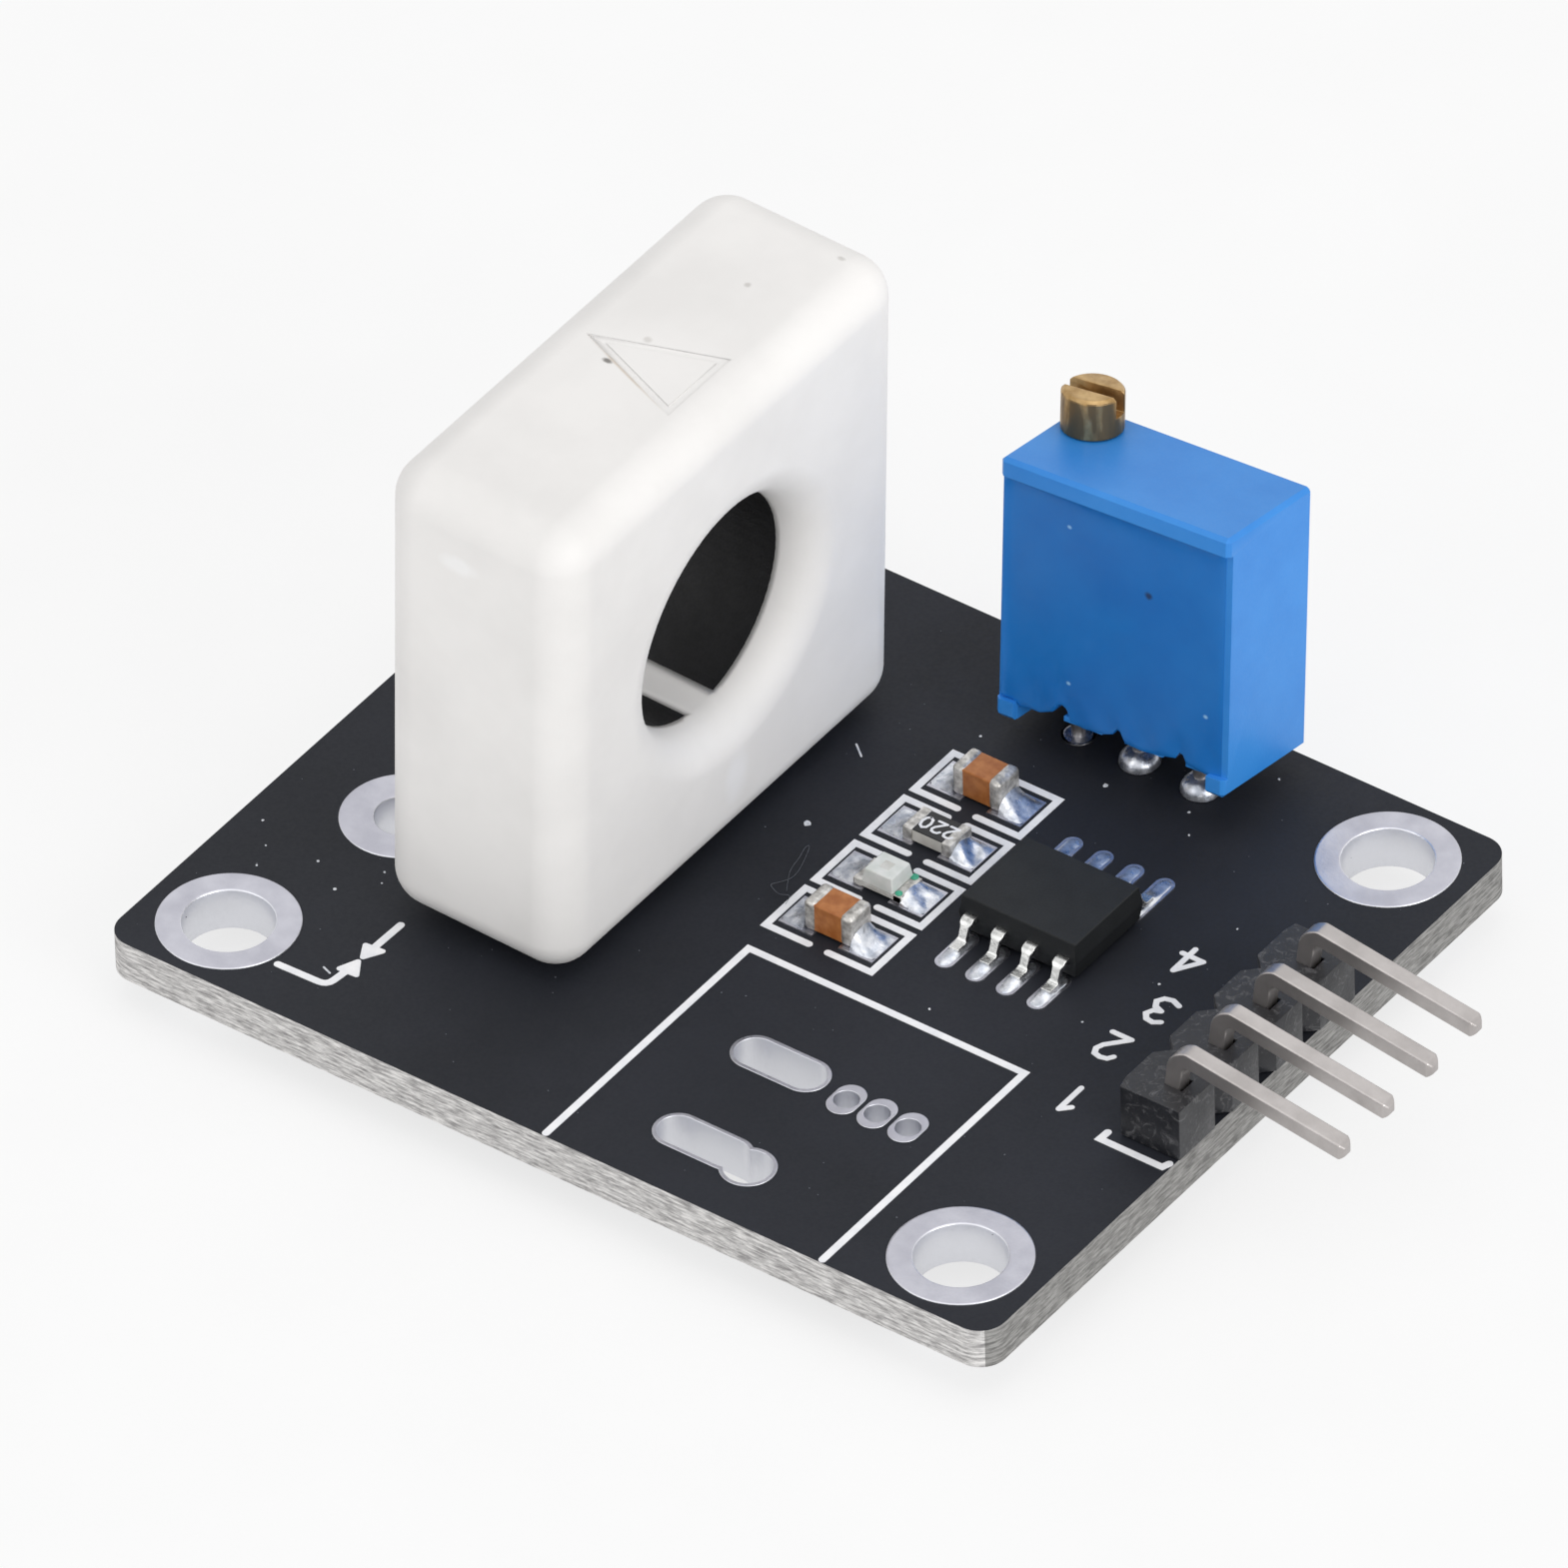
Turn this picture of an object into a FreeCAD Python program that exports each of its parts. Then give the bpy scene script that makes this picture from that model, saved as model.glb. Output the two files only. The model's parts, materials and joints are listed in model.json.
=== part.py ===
import FreeCAD, Part
import Sketcher
import math
import os
import re
from FreeCAD import Placement, Rotation, Vector

# Hall effect current sensor module: a white square sensor block with a conductor hole stands on a
# small circuit board, beside an amplifier, a trimmer and a four-way pin header.
# Frame: +Z up, +X towards the header edge. The origin is the centre of the four mounting holes,
# at the underside of the board. All sizes are millimetres, and leans are degrees.
SIZES = {
    # Circuit board and its plated holes.
    "board_length": 36.7,
    "board_width": 30.5,
    "board_thickness": 1.6,
    "board_corner": 1.0,
    "plating": 0.05,
    "mount_spacing_x": 30.4,
    "mount_spacing_y": 24.7,
    "mount_hole_radius": 1.6,
    "mount_land_radius": 2.5,
    "post_x": -13.6,
    "post_y": -4.6,
    "post_hole_radius": 1.0,
    "post_land_radius": 2.2,
    # Empty footprint for another sensor: two terminal slots and three signal holes.
    "slot_near_x": 4.7,
    "slot_near_y": -12.5,
    "slot_far_x": 4.5,
    "slot_far_y": -7.8,
    "slot_reach": 2.1,
    "slot_radius": 0.72,
    "slot_land": 0.1,
    "lobe_x": 6.7,
    "lobe_y": -12.7,
    "lobe_radius": 0.85,
    "signal_x": 7.4,
    "signal_y": -8.05,
    "signal_pitch": 1.27,
    "signal_hole_radius": 0.45,
    "signal_pad_width": 1.12,
    "signal_pad_length": 1.6,
    # Through-hole joints: the plated holes for leads, and the solder on them.
    "lead_hole_radius": 0.5,
    "lead_land_radius": 0.95,
    "hall_hole_radius": 0.36,
    "hall_land_radius": 0.56,
    "stub_length": 1.3,
    "solder_height": 0.9,
    "dome_height": 0.45,
    # Sensor block: square slab with the conductor hole along X, leaning a little towards +X.
    "housing_x": -7.4,
    "housing_y": 0.5,
    "housing_thickness": 7.85,
    "housing_width": 19.3,
    "housing_height": 19.4,
    "housing_round": 1.5,
    "housing_lean": 2.2,
    "housing_clearance": 0.2,
    "bore_radius": 4.35,
    "bore_mouth": 1.5,
    "core_radius": 8.0,
    "core_gap": 1.6,
    "arrow_length": 4.7,
    "arrow_width": 3.6,
    "arrow_line": 0.3,
    "arrow_depth": 0.12,
    # Hall chip in the gap of the core, and its three leads.
    "chip_width": 4.1,
    "chip_height": 3.0,
    "chip_depth": 1.5,
    "chip_cover": 0.7,
    "hall_pitch": 1.27,
    "hall_lead": 0.4,
    # Right-angle header.
    "header_x": 16.75,
    "header_y": 0.76,
    "header_pitch": 2.54,
    "header_height": 2.45,
    "header_chamfer": 0.5,
    "header_base": 0.5,
    "pin_size": 0.64,
    "pin_rise": 3.16,
    "pin_reach": 7.7,
    "pin_droop": 0.62,
    "pin_bend": 0.4,
    "pin_chamfer": 0.16,
    # Row of two-ended chip parts: capacitor, indicator, resistor, capacitor.
    "part_x": 2.03,
    "part_first_y": -1.09,
    "part_pitch": 2.853,
    "part_length": 2.0,
    "part_width": 1.25,
    "pad_length": 1.4,
    "pad_width": 1.55,
    "pad_gap": 1.1,
    "terminal_wall": 0.05,
    "capacitor_height": 1.25,
    "capacitor_terminal": 0.5,
    "capacitor_chamfer": 0.1,
    "resistor_height": 0.55,
    "resistor_terminal": 0.38,
    "coat_thickness": 0.05,
    "lamp_base": 0.28,
    "lamp_terminal": 0.35,
    "lens_length": 1.3,
    "lens_height": 0.55,
    "lens_taper": 8.0,
    # Eight-lead amplifier.
    "amplifier_x": 7.85,
    "amplifier_y": 3.1,
    "amplifier_length": 4.9,
    "amplifier_width": 3.9,
    "amplifier_height": 1.45,
    "amplifier_standoff": 0.12,
    "amplifier_taper": 8.0,
    "amplifier_pitch": 1.27,
    "amplifier_span": 6.0,
    "gull_width": 0.42,
    "gull_thickness": 0.2,
    "gull_foot": 0.5,
    "gull_shoulder": 0.3,
    "gull_root": 0.3,
    "chip_pad_width": 0.62,
    "chip_pad_length": 1.95,
    "chip_pad_end": 3.8,
    # Trimmer: case, mechanism and the lean of the whole part, as it is soldered.
    "trimmer_x": 5.32,
    "trimmer_y": 12.43,
    "trimmer_rise": 1.0,
    "trimmer_back_lean": 9.7,
    "trimmer_side_lean": 4.4,
    "trimmer_length": 9.53,
    "trimmer_depth": 4.83,
    "trimmer_height": 10.03,
    "trimmer_chamfer": 0.15,
    "trimmer_wall": 0.6,
    "trimmer_floor": 0.8,
    "trimmer_roof": 1.3,
    "trimmer_back": 0.5,
    "lug_width": 0.75,
    "lug_height": 0.7,
    "face_recess": 0.25,
    "notch_width": 0.95,
    "notch_depth": 0.6,
    "trimmer_pitch": 2.54,
    "trimmer_pin_radius": 0.25,
    "trimmer_pin_gap": 0.195,
    "trimmer_pin_top": 2.4,
    "screw_inset": 1.27,
    "screw_head_radius": 1.1,
    "screw_head_height": 1.5,
    "screw_shank_radius": 0.85,
    "screw_clearance": 0.05,
    "screw_core_radius": 0.48,
    "screw_tail_radius": 0.4,
    "screw_slot_width": 0.55,
    "screw_slot_depth": 0.8,
    "screw_slot_angle": 7.0,
    "screw_chamfer": 0.12,
    "seal_height": 0.4,
    "seal_depth": 0.3,
    "tooth_count": 33,
    "rotor_clearance": 0.5,
    "tooth_height": 0.33,
    "tooth_tip": 0.1,
    "tooth_root": 0.28,
    "mesh_clearance": 0.05,
    "rotor_thickness": 1.3,
    "journal_radius": 0.6,
    "journal_end": 0.35,
    "wiper_overrun": 0.35,
    "wiper_width": 0.8,
    "wiper_thickness": 0.15,
    "wiper_hub_radius": 1.0,
    "wiper_gap": 0.35,
    "contact_radius": 0.22,
    "track_inset": 0.915,
    "track_width": 0.7,
    "track_opening": 3.0,
    "track_thickness": 0.05,
    "collector_gap": 0.5,
    "collector_width": 0.5,
    "element_thickness": 0.45,
    "element_width": 7.8,
    "element_clearance": 0.315,
}

SHEET = "Sizes"
HEADER_WAYS = 4
AMPLIFIER_SIDE_LEADS = 4
CUT_MARGIN = 1.0
# The ten soldered joints repeat, mostly out of sight, so each has a few flat sides.
JOINT_SIDES = 12

doc = FreeCAD.newDocument("HallCurrentSensor")
nodes = []


def write_sheet():
    """Put every size in a cell that has its name."""
    sheet = doc.addObject("Spreadsheet::Sheet", SHEET)
    for row, (name, value) in enumerate(SIZES.items(), start=1):
        sheet.set("A%d" % row, name)
        sheet.set("B%d" % row, str(value))
        sheet.setAlias("B%d" % row, name)
    doc.recompute()
    return sheet


sizes = write_sheet()


def size(name):
    """The number that the sheet holds under this name."""
    return float(sizes.get(name))


def formula(text):
    """Point each size name in a formula at its cell."""
    def cell(word):
        name = word.group()
        return SHEET + "." + name if name in SIZES else name

    return re.sub(r"[a-z_]+", cell, text)


def bind(thing, **properties):
    """Tie properties of an object to formulas over the sheet."""
    for name, text in properties.items():
        thing.setExpression(name, formula(text))


def frame_at(x=0.0, y=0.0, z=0.0, rotation=None):
    return Placement(Vector(x, y, z), rotation or Rotation())


def node(thing, label, frame=None):
    """Name a finished sub-part and put it in its place."""
    if frame is not None:
        thing.Placement = frame
    thing.Label = label
    nodes.append(thing)
    return thing


def box(name, length, width, height, x, y, z):
    """Box centred on x and y, standing on z. Its lengths are formulas and its place is numbers."""
    solid = doc.addObject("Part::Box", name)
    bind(solid, Length=length, Width=width, Height=height)
    bind(solid, **{"Placement.Base.x": "%.6f - (%s) / 2" % (x, length),
                   "Placement.Base.y": "%.6f - (%s) / 2" % (y, width)})
    solid.Placement.Base.z = z
    return solid


def drum(name, radius, height, x, y, z, rotation=None):
    """Cylinder that starts at a point and runs along Z, or along Z turned by the rotation."""
    solid = doc.addObject("Part::Cylinder", name)
    bind(solid, Radius=radius, Height=height)
    solid.Placement = frame_at(x, y, z, rotation)
    return solid


def prism(name, radius, height, x, y, z):
    """Upright prism with the few sides of a soldered joint. The radius reaches its corners."""
    solid = doc.addObject("Part::Prism", name)
    solid.Polygon = JOINT_SIDES
    bind(solid, Circumradius=radius, Height=height)
    solid.Placement = frame_at(x, y, z)
    return solid


def frustum(name, low_radius, low, high_radius, high, x, y):
    """Few-sided cone between two heights. Radii and heights are formulas."""
    ends = []
    for radius, z in ((low_radius, low), (high_radius, high)):
        end = doc.addObject("Part::RegularPolygon", name + "End")
        end.Polygon = JOINT_SIDES
        end.Placement = frame_at(x, y)
        bind(end, Circumradius=radius, **{"Placement.Base.z": z})
        ends.append(end)
    solid = doc.addObject("Part::Loft", name)
    solid.Sections = ends
    solid.Solid = True
    solid.Ruled = True
    return solid


def cut(name, base, tool):
    solid = doc.addObject("Part::Cut", name)
    solid.Base = base
    solid.Tool = tool
    return solid


def fuse(name, *parts):
    solid = doc.addObject("Part::MultiFuse", name)
    solid.Shapes = list(parts)
    solid.Refine = True
    return solid


def group(name, members):
    """Several like solids that stay separate in one sub-part."""
    gathered = doc.addObject("Part::Compound", name)
    gathered.Links = list(members)
    return gathered


def new_body(name):
    return doc.addObject("PartDesign::Body", name)


def origin_feature(body, role):
    return next(feature for feature in body.Origin.OriginFeatures if feature.Role == role)


def sketch_on(body, plane, offset=0.0):
    """Empty sketch on one of the body's own planes, or at a distance along that plane's normal."""
    sketch = body.newObject("Sketcher::SketchObject", body.Name + "Sketch")
    sketch.AttachmentSupport = [(origin_feature(body, plane), "")]
    sketch.MapMode = "FlatFace"
    sketch.AttachmentOffset = frame_at(z=offset)
    return sketch


def pin_point(sketch, geometry, end, seed, across, along):
    """Dimension one point of a sketch from its origin with two formulas."""
    for kind, start, text in (("DistanceX", seed.x, across), ("DistanceY", seed.y, along)):
        index = sketch.addConstraint(Sketcher.Constraint(kind, -1, 1, geometry, end, start))
        sketch.setExpression("Constraints[%d]" % index, formula(text))


def outline(sketch, corners):
    """Closed straight-sided outline whose corners are pairs of formulas."""
    count = len(corners)
    angles = [2 * math.pi * i / count for i in range(count)]
    seeds = [Vector(math.cos(angle), math.sin(angle), 0) for angle in angles]
    sides = [sketch.addGeometry(Part.LineSegment(seeds[i], seeds[(i + 1) % count])) for i in range(count)]
    for i, (across, along) in enumerate(corners):
        sketch.addConstraint(Sketcher.Constraint("Coincident", sides[i - 1], 2, sides[i], 1))
        pin_point(sketch, sides[i], 1, seeds[i], across, along)


def rectangle(sketch, left, right, low, high):
    outline(sketch, [(left, low), (right, low), (right, high), (left, high)])


def circle(sketch, across, along, radius):
    seed = Vector(1, 1, 0)
    index = sketch.addGeometry(Part.Circle(seed, Vector(0, 0, 1), 1.0))
    pin_point(sketch, index, 3, seed, across, along)
    rule = sketch.addConstraint(Sketcher.Constraint("Radius", index, 1.0))
    sketch.setExpression("Constraints[%d]" % rule, formula(radius))


def pad(body, sketch, length, midplane=False, backwards=False, taper=None):
    feature = body.newObject("PartDesign::Pad", body.Name + "Pad")
    feature.Profile = sketch
    bind(feature, Length=length)
    feature.Midplane = midplane
    feature.Reversed = backwards
    if taper is not None:
        bind(feature, TaperAngle=taper)
    return feature


def pocket(body, sketch, depth=None, backwards=False, midplane=False):
    """Cut along the sketch's normal or against it, to a depth or right through. The volume must fall."""
    doc.recompute()
    before = body.Shape.Volume
    feature = body.newObject("PartDesign::Pocket", body.Name + "Pocket")
    feature.Profile = sketch
    feature.Midplane = midplane
    feature.Reversed = backwards
    if depth is None:
        feature.Type = "ThroughAll"
    else:
        bind(feature, Length=depth)
    doc.recompute()
    if not body.Shape.Volume < before:
        raise RuntimeError("the cut in %s removed nothing" % body.Label)
    return feature


def revolve(body, sketch, axis):
    feature = body.newObject("PartDesign::Revolution", body.Name + "Turn")
    feature.Profile = sketch
    feature.ReferenceAxis = (origin_feature(body, axis), [""])
    feature.Angle = 360
    return feature


def dress(body, kind, amount, picks):
    """Fillet or Chamfer on the edges of the body that a test picks."""
    doc.recompute()
    base = body.Tip
    names = ["Edge%d" % (i + 1) for i, edge in enumerate(base.Shape.Edges) if picks(edge)]
    feature = body.newObject("PartDesign::" + kind, body.Name + kind)
    feature.Base = (base, names)
    bind(feature, **{"Radius" if kind == "Fillet" else "Size": amount})
    return feature


def repeat_along(body, feature, axis, length, count):
    pattern = body.newObject("PartDesign::LinearPattern", body.Name + "Row")
    pattern.Originals = [feature]
    pattern.Direction = (origin_feature(body, axis), [""])
    bind(pattern, Length=length)
    pattern.Occurrences = count
    body.Tip = pattern
    return pattern


def edge_box(edge):
    return edge.BoundBox


def is_upright(edge):
    span = edge_box(edge)
    return span.ZLength > 0.01 and span.XLength < 0.01 and span.YLength < 0.01


# Places that several pieces share.
BOARD_TOP = size("board_thickness")
PAD_TOP = BOARD_TOP + size("plating")
MOUNT_SIGNS = [(-1, -1), (1, -1), (1, 1), (-1, 1)]

housing_turn = Rotation(Vector(0, 1, 0), size("housing_lean"))
housing_low = math.sin(math.radians(size("housing_lean"))) * size("housing_thickness") / 2
HOUSING_Z = BOARD_TOP + size("housing_clearance") + housing_low
HOUSING = frame_at(size("housing_x"), size("housing_y"), HOUSING_Z, housing_turn)
BORE_HEIGHT = "housing_height / 2"

trimmer_turn = (Rotation(Vector(0, 1, 0), -size("trimmer_side_lean"))
                * Rotation(Vector(1, 0, 0), -size("trimmer_back_lean")))
TRIMMER = frame_at(size("trimmer_x"), size("trimmer_y"), BOARD_TOP + size("trimmer_rise"), trimmer_turn)

# Where the trimmer's layers are along its depth, from the back: screw and rotor, wiper, element, leads.
SCREW_Y = size("trimmer_depth") / 2 - size("screw_inset")
ELEMENT_FACE = SCREW_Y - size("rotor_thickness") / 2 - size("wiper_thickness") - size("wiper_gap")
LEAD_ROW = ELEMENT_FACE - size("element_thickness") - size("trimmer_pin_gap")

# Where the leads go through the board.
hall_spots = [(size("housing_x") + step * size("hall_pitch"), size("housing_y")) for step in (-1, 0, 1)]
trimmer_foot = TRIMMER.multVec(Vector(0, LEAD_ROW, 0))
trimmer_spots = [(trimmer_foot.x + step * size("trimmer_pitch"), trimmer_foot.y) for step in (-1, 0, 1)]
header_spots = [(size("header_x"), size("header_y") + (way - (HEADER_WAYS - 1) / 2) * size("header_pitch"))
                for way in range(HEADER_WAYS)]
lead_holes = [("hall", spot) for spot in hall_spots] + [("lead", spot) for spot in trimmer_spots + header_spots]


def capsule(name, grow, z, height, x, y):
    """Upright slot-shaped prism along X: the slot's outline, widened by a formula."""
    half = size("slot_reach") / 2
    radius = "slot_radius + " + grow
    middle = box(name + "Middle", "slot_reach", "2 * (%s)" % radius, height, x, y, z)
    ends = [drum(name + "End", radius, height, x + side * half, y, z) for side in (-1, 1)]
    return [middle] + ends


def slot_prism(name, which, grow, z, height):
    """One of the two slots; the near one has a round lobe at its end."""
    pieces = capsule(name, grow, z, height, size("slot_%s_x" % which), size("slot_%s_y" % which))
    if which == "near":
        pieces.append(drum(name + "Lobe", "lobe_radius + " + grow, height, size("lobe_x"), size("lobe_y"), z))
    return fuse(name, *pieces)


def make_board():
    """Glass-fibre board with rounded corners, drilled and slotted."""
    body = new_body("BoardBlank")
    base = sketch_on(body, "XY_Plane")
    rectangle(base, "-board_length / 2", "board_length / 2", "-board_width / 2", "board_width / 2")
    pad(body, base, "board_thickness")
    dress(body, "Fillet", "board_corner", is_upright)
    holes = sketch_on(body, "XY_Plane")
    for sign_x, sign_y in MOUNT_SIGNS:
        circle(holes, "%d * mount_spacing_x / 2" % sign_x, "%d * mount_spacing_y / 2" % sign_y,
               "mount_hole_radius + plating")
    circle(holes, "post_x", "post_y", "post_hole_radius + plating")
    for step in range(3):
        circle(holes, "signal_x + %d * signal_pitch" % step, "signal_y", "signal_hole_radius + plating")
    pocket(body, holes, backwards=True)
    through = "board_thickness + %f" % (2 * CUT_MARGIN)
    openings = [slot_prism("Slot" + which, which, "plating", -CUT_MARGIN, through) for which in ("near", "far")]
    openings += [prism("LeadHole", kind + "_hole_radius + plating", through, x, y, -CUT_MARGIN)
                 for kind, (x, y) in lead_holes]
    node(cut("Board", body, fuse("Openings", *openings)), "circuit_board")


def eyelet(name, x, y, hole, land):
    """Plated hole: a thin tube with a flat ring on each side of the board."""
    body = new_body(name)
    profile = sketch_on(body, "XZ_Plane")
    outline(profile, [(hole, "-plating"), (land, "-plating"), (land, "0"), (hole + " + plating", "0"),
                      (hole + " + plating", "board_thickness"), (land, "board_thickness"),
                      (land, "board_thickness + plating"), (hole, "board_thickness + plating")])
    revolve(body, profile, "Z_Axis")
    body.Placement = frame_at(x, y)
    return body


def lead_ring(name, x, y, kind):
    """Plated hole of a lead: a tube with a land on each side of the board."""
    wall = kind + "_hole_radius + plating"
    tube = prism(name + "Tube", wall, "board_thickness", x, y, 0)
    land = kind + "_land_radius"
    lands = [prism(name + "Land", land, "plating", x, y, z) for z in (-size("plating"), BOARD_TOP)]
    through = "board_thickness + %f" % (2 * CUT_MARGIN)
    bore = prism(name + "Bore", kind + "_hole_radius", through, x, y, -CUT_MARGIN)
    return cut(name, fuse(name + "Blank", tube, *lands), bore)


def make_platings():
    rings = [eyelet("MountRing", sx * size("mount_spacing_x") / 2, sy * size("mount_spacing_y") / 2,
                    "mount_hole_radius", "mount_land_radius") for sx, sy in MOUNT_SIGNS]
    node(group("MountRings", rings), "mounting_hole_rings")
    node(eyelet("PostRing", 0, 0, "post_hole_radius", "post_land_radius"), "post_hole_ring",
         frame_at(size("post_x"), size("post_y")))
    for label, kind, spots in (("hall_lead_rings", "hall", hall_spots),
                               ("trimmer_lead_rings", "lead", trimmer_spots),
                               ("header_pin_rings", "lead", header_spots)):
        rings = [lead_ring("LeadRing", x, y, kind) for x, y in spots]
        node(group(label + "_set", rings), label)


def make_slot_linings():
    """Plated linings of the two slots, with a narrow flat rim on each side of the board."""
    linings = []
    for which in ("near", "far"):
        rims = [slot_prism("Rim%s%d" % (which, side), which, "plating + slot_land", z, "plating")
                for side, z in enumerate((-size("plating"), BOARD_TOP))]
        tube = slot_prism("Tube" + which, which, "plating", 0, "board_thickness")
        hollow = slot_prism("Hollow" + which, which, "0", -CUT_MARGIN,
                            "board_thickness + %f" % (2 * CUT_MARGIN))
        linings.append(cut("Lining" + which, fuse("LiningBlank" + which, tube, *rims), hollow))
    node(group("SlotLinings", linings), "terminal_slot_linings")


def make_signal_pads():
    """Three small plated holes with long pads."""
    pads = []
    for step in range(3):
        x = size("signal_x") + step * size("signal_pitch")
        y = size("signal_y")
        name = "Signal%d" % step
        half = (size("signal_pad_length") - size("signal_pad_width")) / 2
        pieces = [drum(name + "Tube", "signal_hole_radius + plating", "board_thickness", x, y, 0)]
        for side, z in enumerate((-size("plating"), BOARD_TOP)):
            middle = "signal_pad_length - signal_pad_width"
            pieces.append(box(name + "Land%d" % side, "signal_pad_width", middle, "plating", x, y, z))
            pieces += [drum(name + "Round%d" % side, "signal_pad_width / 2", "plating", x, y + end * half, z)
                       for end in (-1, 1)]
        bore = drum(name + "Bore", "signal_hole_radius", "board_thickness + %f" % (2 * CUT_MARGIN),
                    x, y, -CUT_MARGIN)
        pads.append(cut(name, fuse(name + "Blank", *pieces), bore))
    node(group("SignalPads", pads), "signal_hole_pads")


def solder_joint(name, x, y, kind, domed):
    """Solder that fills a plated hole, with a cone below the board and, where it shows, another above."""
    hole = kind + "_hole_radius"
    land = kind + "_land_radius"
    top = "board_thickness + plating"
    pieces = [prism(name + "Plug", hole, "board_thickness + 2 * plating", x, y, -size("plating")),
              frustum(name + "Cone", hole, "-plating - solder_height", land, "-plating", x, y)]
    if domed:
        pieces.append(frustum(name + "Dome", land, top, hole, top + " + dome_height", x, y))
    return fuse(name, *pieces)


def make_solder(label, spots, leads, kind="lead", domed=False):
    joints = [solder_joint(label.title().replace("_", ""), x, y, kind, domed) for x, y in spots]
    node(cut(label + "_cut", group(label + "_blanks", joints), leads), label)


def make_sensor():
    """White block moulded round a gapped ferrite ring, with the chip in the gap under the hole."""
    body = new_body("HousingBlank")
    base = sketch_on(body, "XY_Plane")
    rectangle(base, "-housing_thickness / 2", "housing_thickness / 2",
              "-housing_width / 2", "housing_width / 2")
    pad(body, base, "housing_height")
    dress(body, "Fillet", "housing_round", lambda edge: True)
    hole = sketch_on(body, "YZ_Plane")
    circle(hole, "0", BORE_HEIGHT, "bore_radius")
    pocket(body, hole, midplane=True)
    bore_width = 2 * size("bore_radius") - 0.01
    dress(body, "Fillet", "bore_mouth",
          lambda edge: edge_box(edge).XLength < 0.01 and edge_box(edge).YLength > bore_width)
    arrow = sketch_on(body, "XY_Plane", size("housing_height"))
    slope = math.hypot(size("arrow_length"), size("arrow_width") / 2)
    tip_inset = size("arrow_line") * slope / (size("arrow_width") / 2)
    side_inset = size("arrow_line") * (slope + size("arrow_width") / 2) / size("arrow_length")
    outline(arrow, [("-arrow_length / 2", "0"), ("arrow_length / 2", "-arrow_width / 2"),
                    ("arrow_length / 2", "arrow_width / 2")])
    outline(arrow, [("-arrow_length / 2 + %.6f" % tip_inset, "0"),
                    ("arrow_length / 2 - arrow_line", "-arrow_width / 2 + %.6f" % side_inset),
                    ("arrow_length / 2 - arrow_line", "arrow_width / 2 - %.6f" % side_inset)])
    pocket(body, arrow, "arrow_depth")
    body.Placement = HOUSING

    along_x = Rotation(Vector(0, 1, 0), 90)
    middle = size("housing_height") / 2
    core_width = "housing_thickness - 2 * bore_mouth"
    half_core = size("housing_thickness") / 2 - size("bore_mouth")
    disc = drum("CoreDisc", "core_radius", core_width, -half_core, 0, middle, along_x)
    eye = drum("CoreEye", "bore_radius", core_width + " + %f" % (2 * CUT_MARGIN),
               -half_core - CUT_MARGIN, 0, middle, along_x)
    gap = box("CoreGap", core_width + " + %f" % CUT_MARGIN, "core_gap", "core_radius + %f" % CUT_MARGIN,
              0, 0, middle - size("core_radius") - CUT_MARGIN)
    core = cut("CoreRing", cut("CoreHorseshoe", disc, gap), eye)
    node(core, "ferrite_core", HOUSING)

    chip_top = middle - size("bore_radius") - size("chip_cover")
    chip_foot = chip_top - size("chip_height")
    slab = box("ChipSlab", "chip_width", "chip_depth", "chip_height", 0, 0, chip_foot)
    chip = node(group("Chip", [slab]), "hall_chip", HOUSING)

    drop = chip_foot + HOUSING_Z + size("stub_length") + CUT_MARGIN
    leads = [box("HallLead", "hall_lead", "hall_lead", "%.6f" % drop, step * size("hall_pitch"), 0,
                 chip_foot - drop) for step in (-1, 0, 1)]
    leads = group("LongLeads", leads)
    leads.Placement = HOUSING
    waste = box("LeadWaste", "board_length", "board_width", "2 * %f" % CUT_MARGIN, 0, 0,
                -size("stub_length") - 2 * CUT_MARGIN)
    leads = node(cut("HallLeads", leads, waste), "hall_chip_leads")
    filling = fuse("HousingFilling", core, chip, leads)
    filling.Refine = False
    node(cut("Housing", body, filling), "sensor_housing")
    make_solder("hall_lead_solder", hall_spots, leads, kind="hall")


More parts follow.
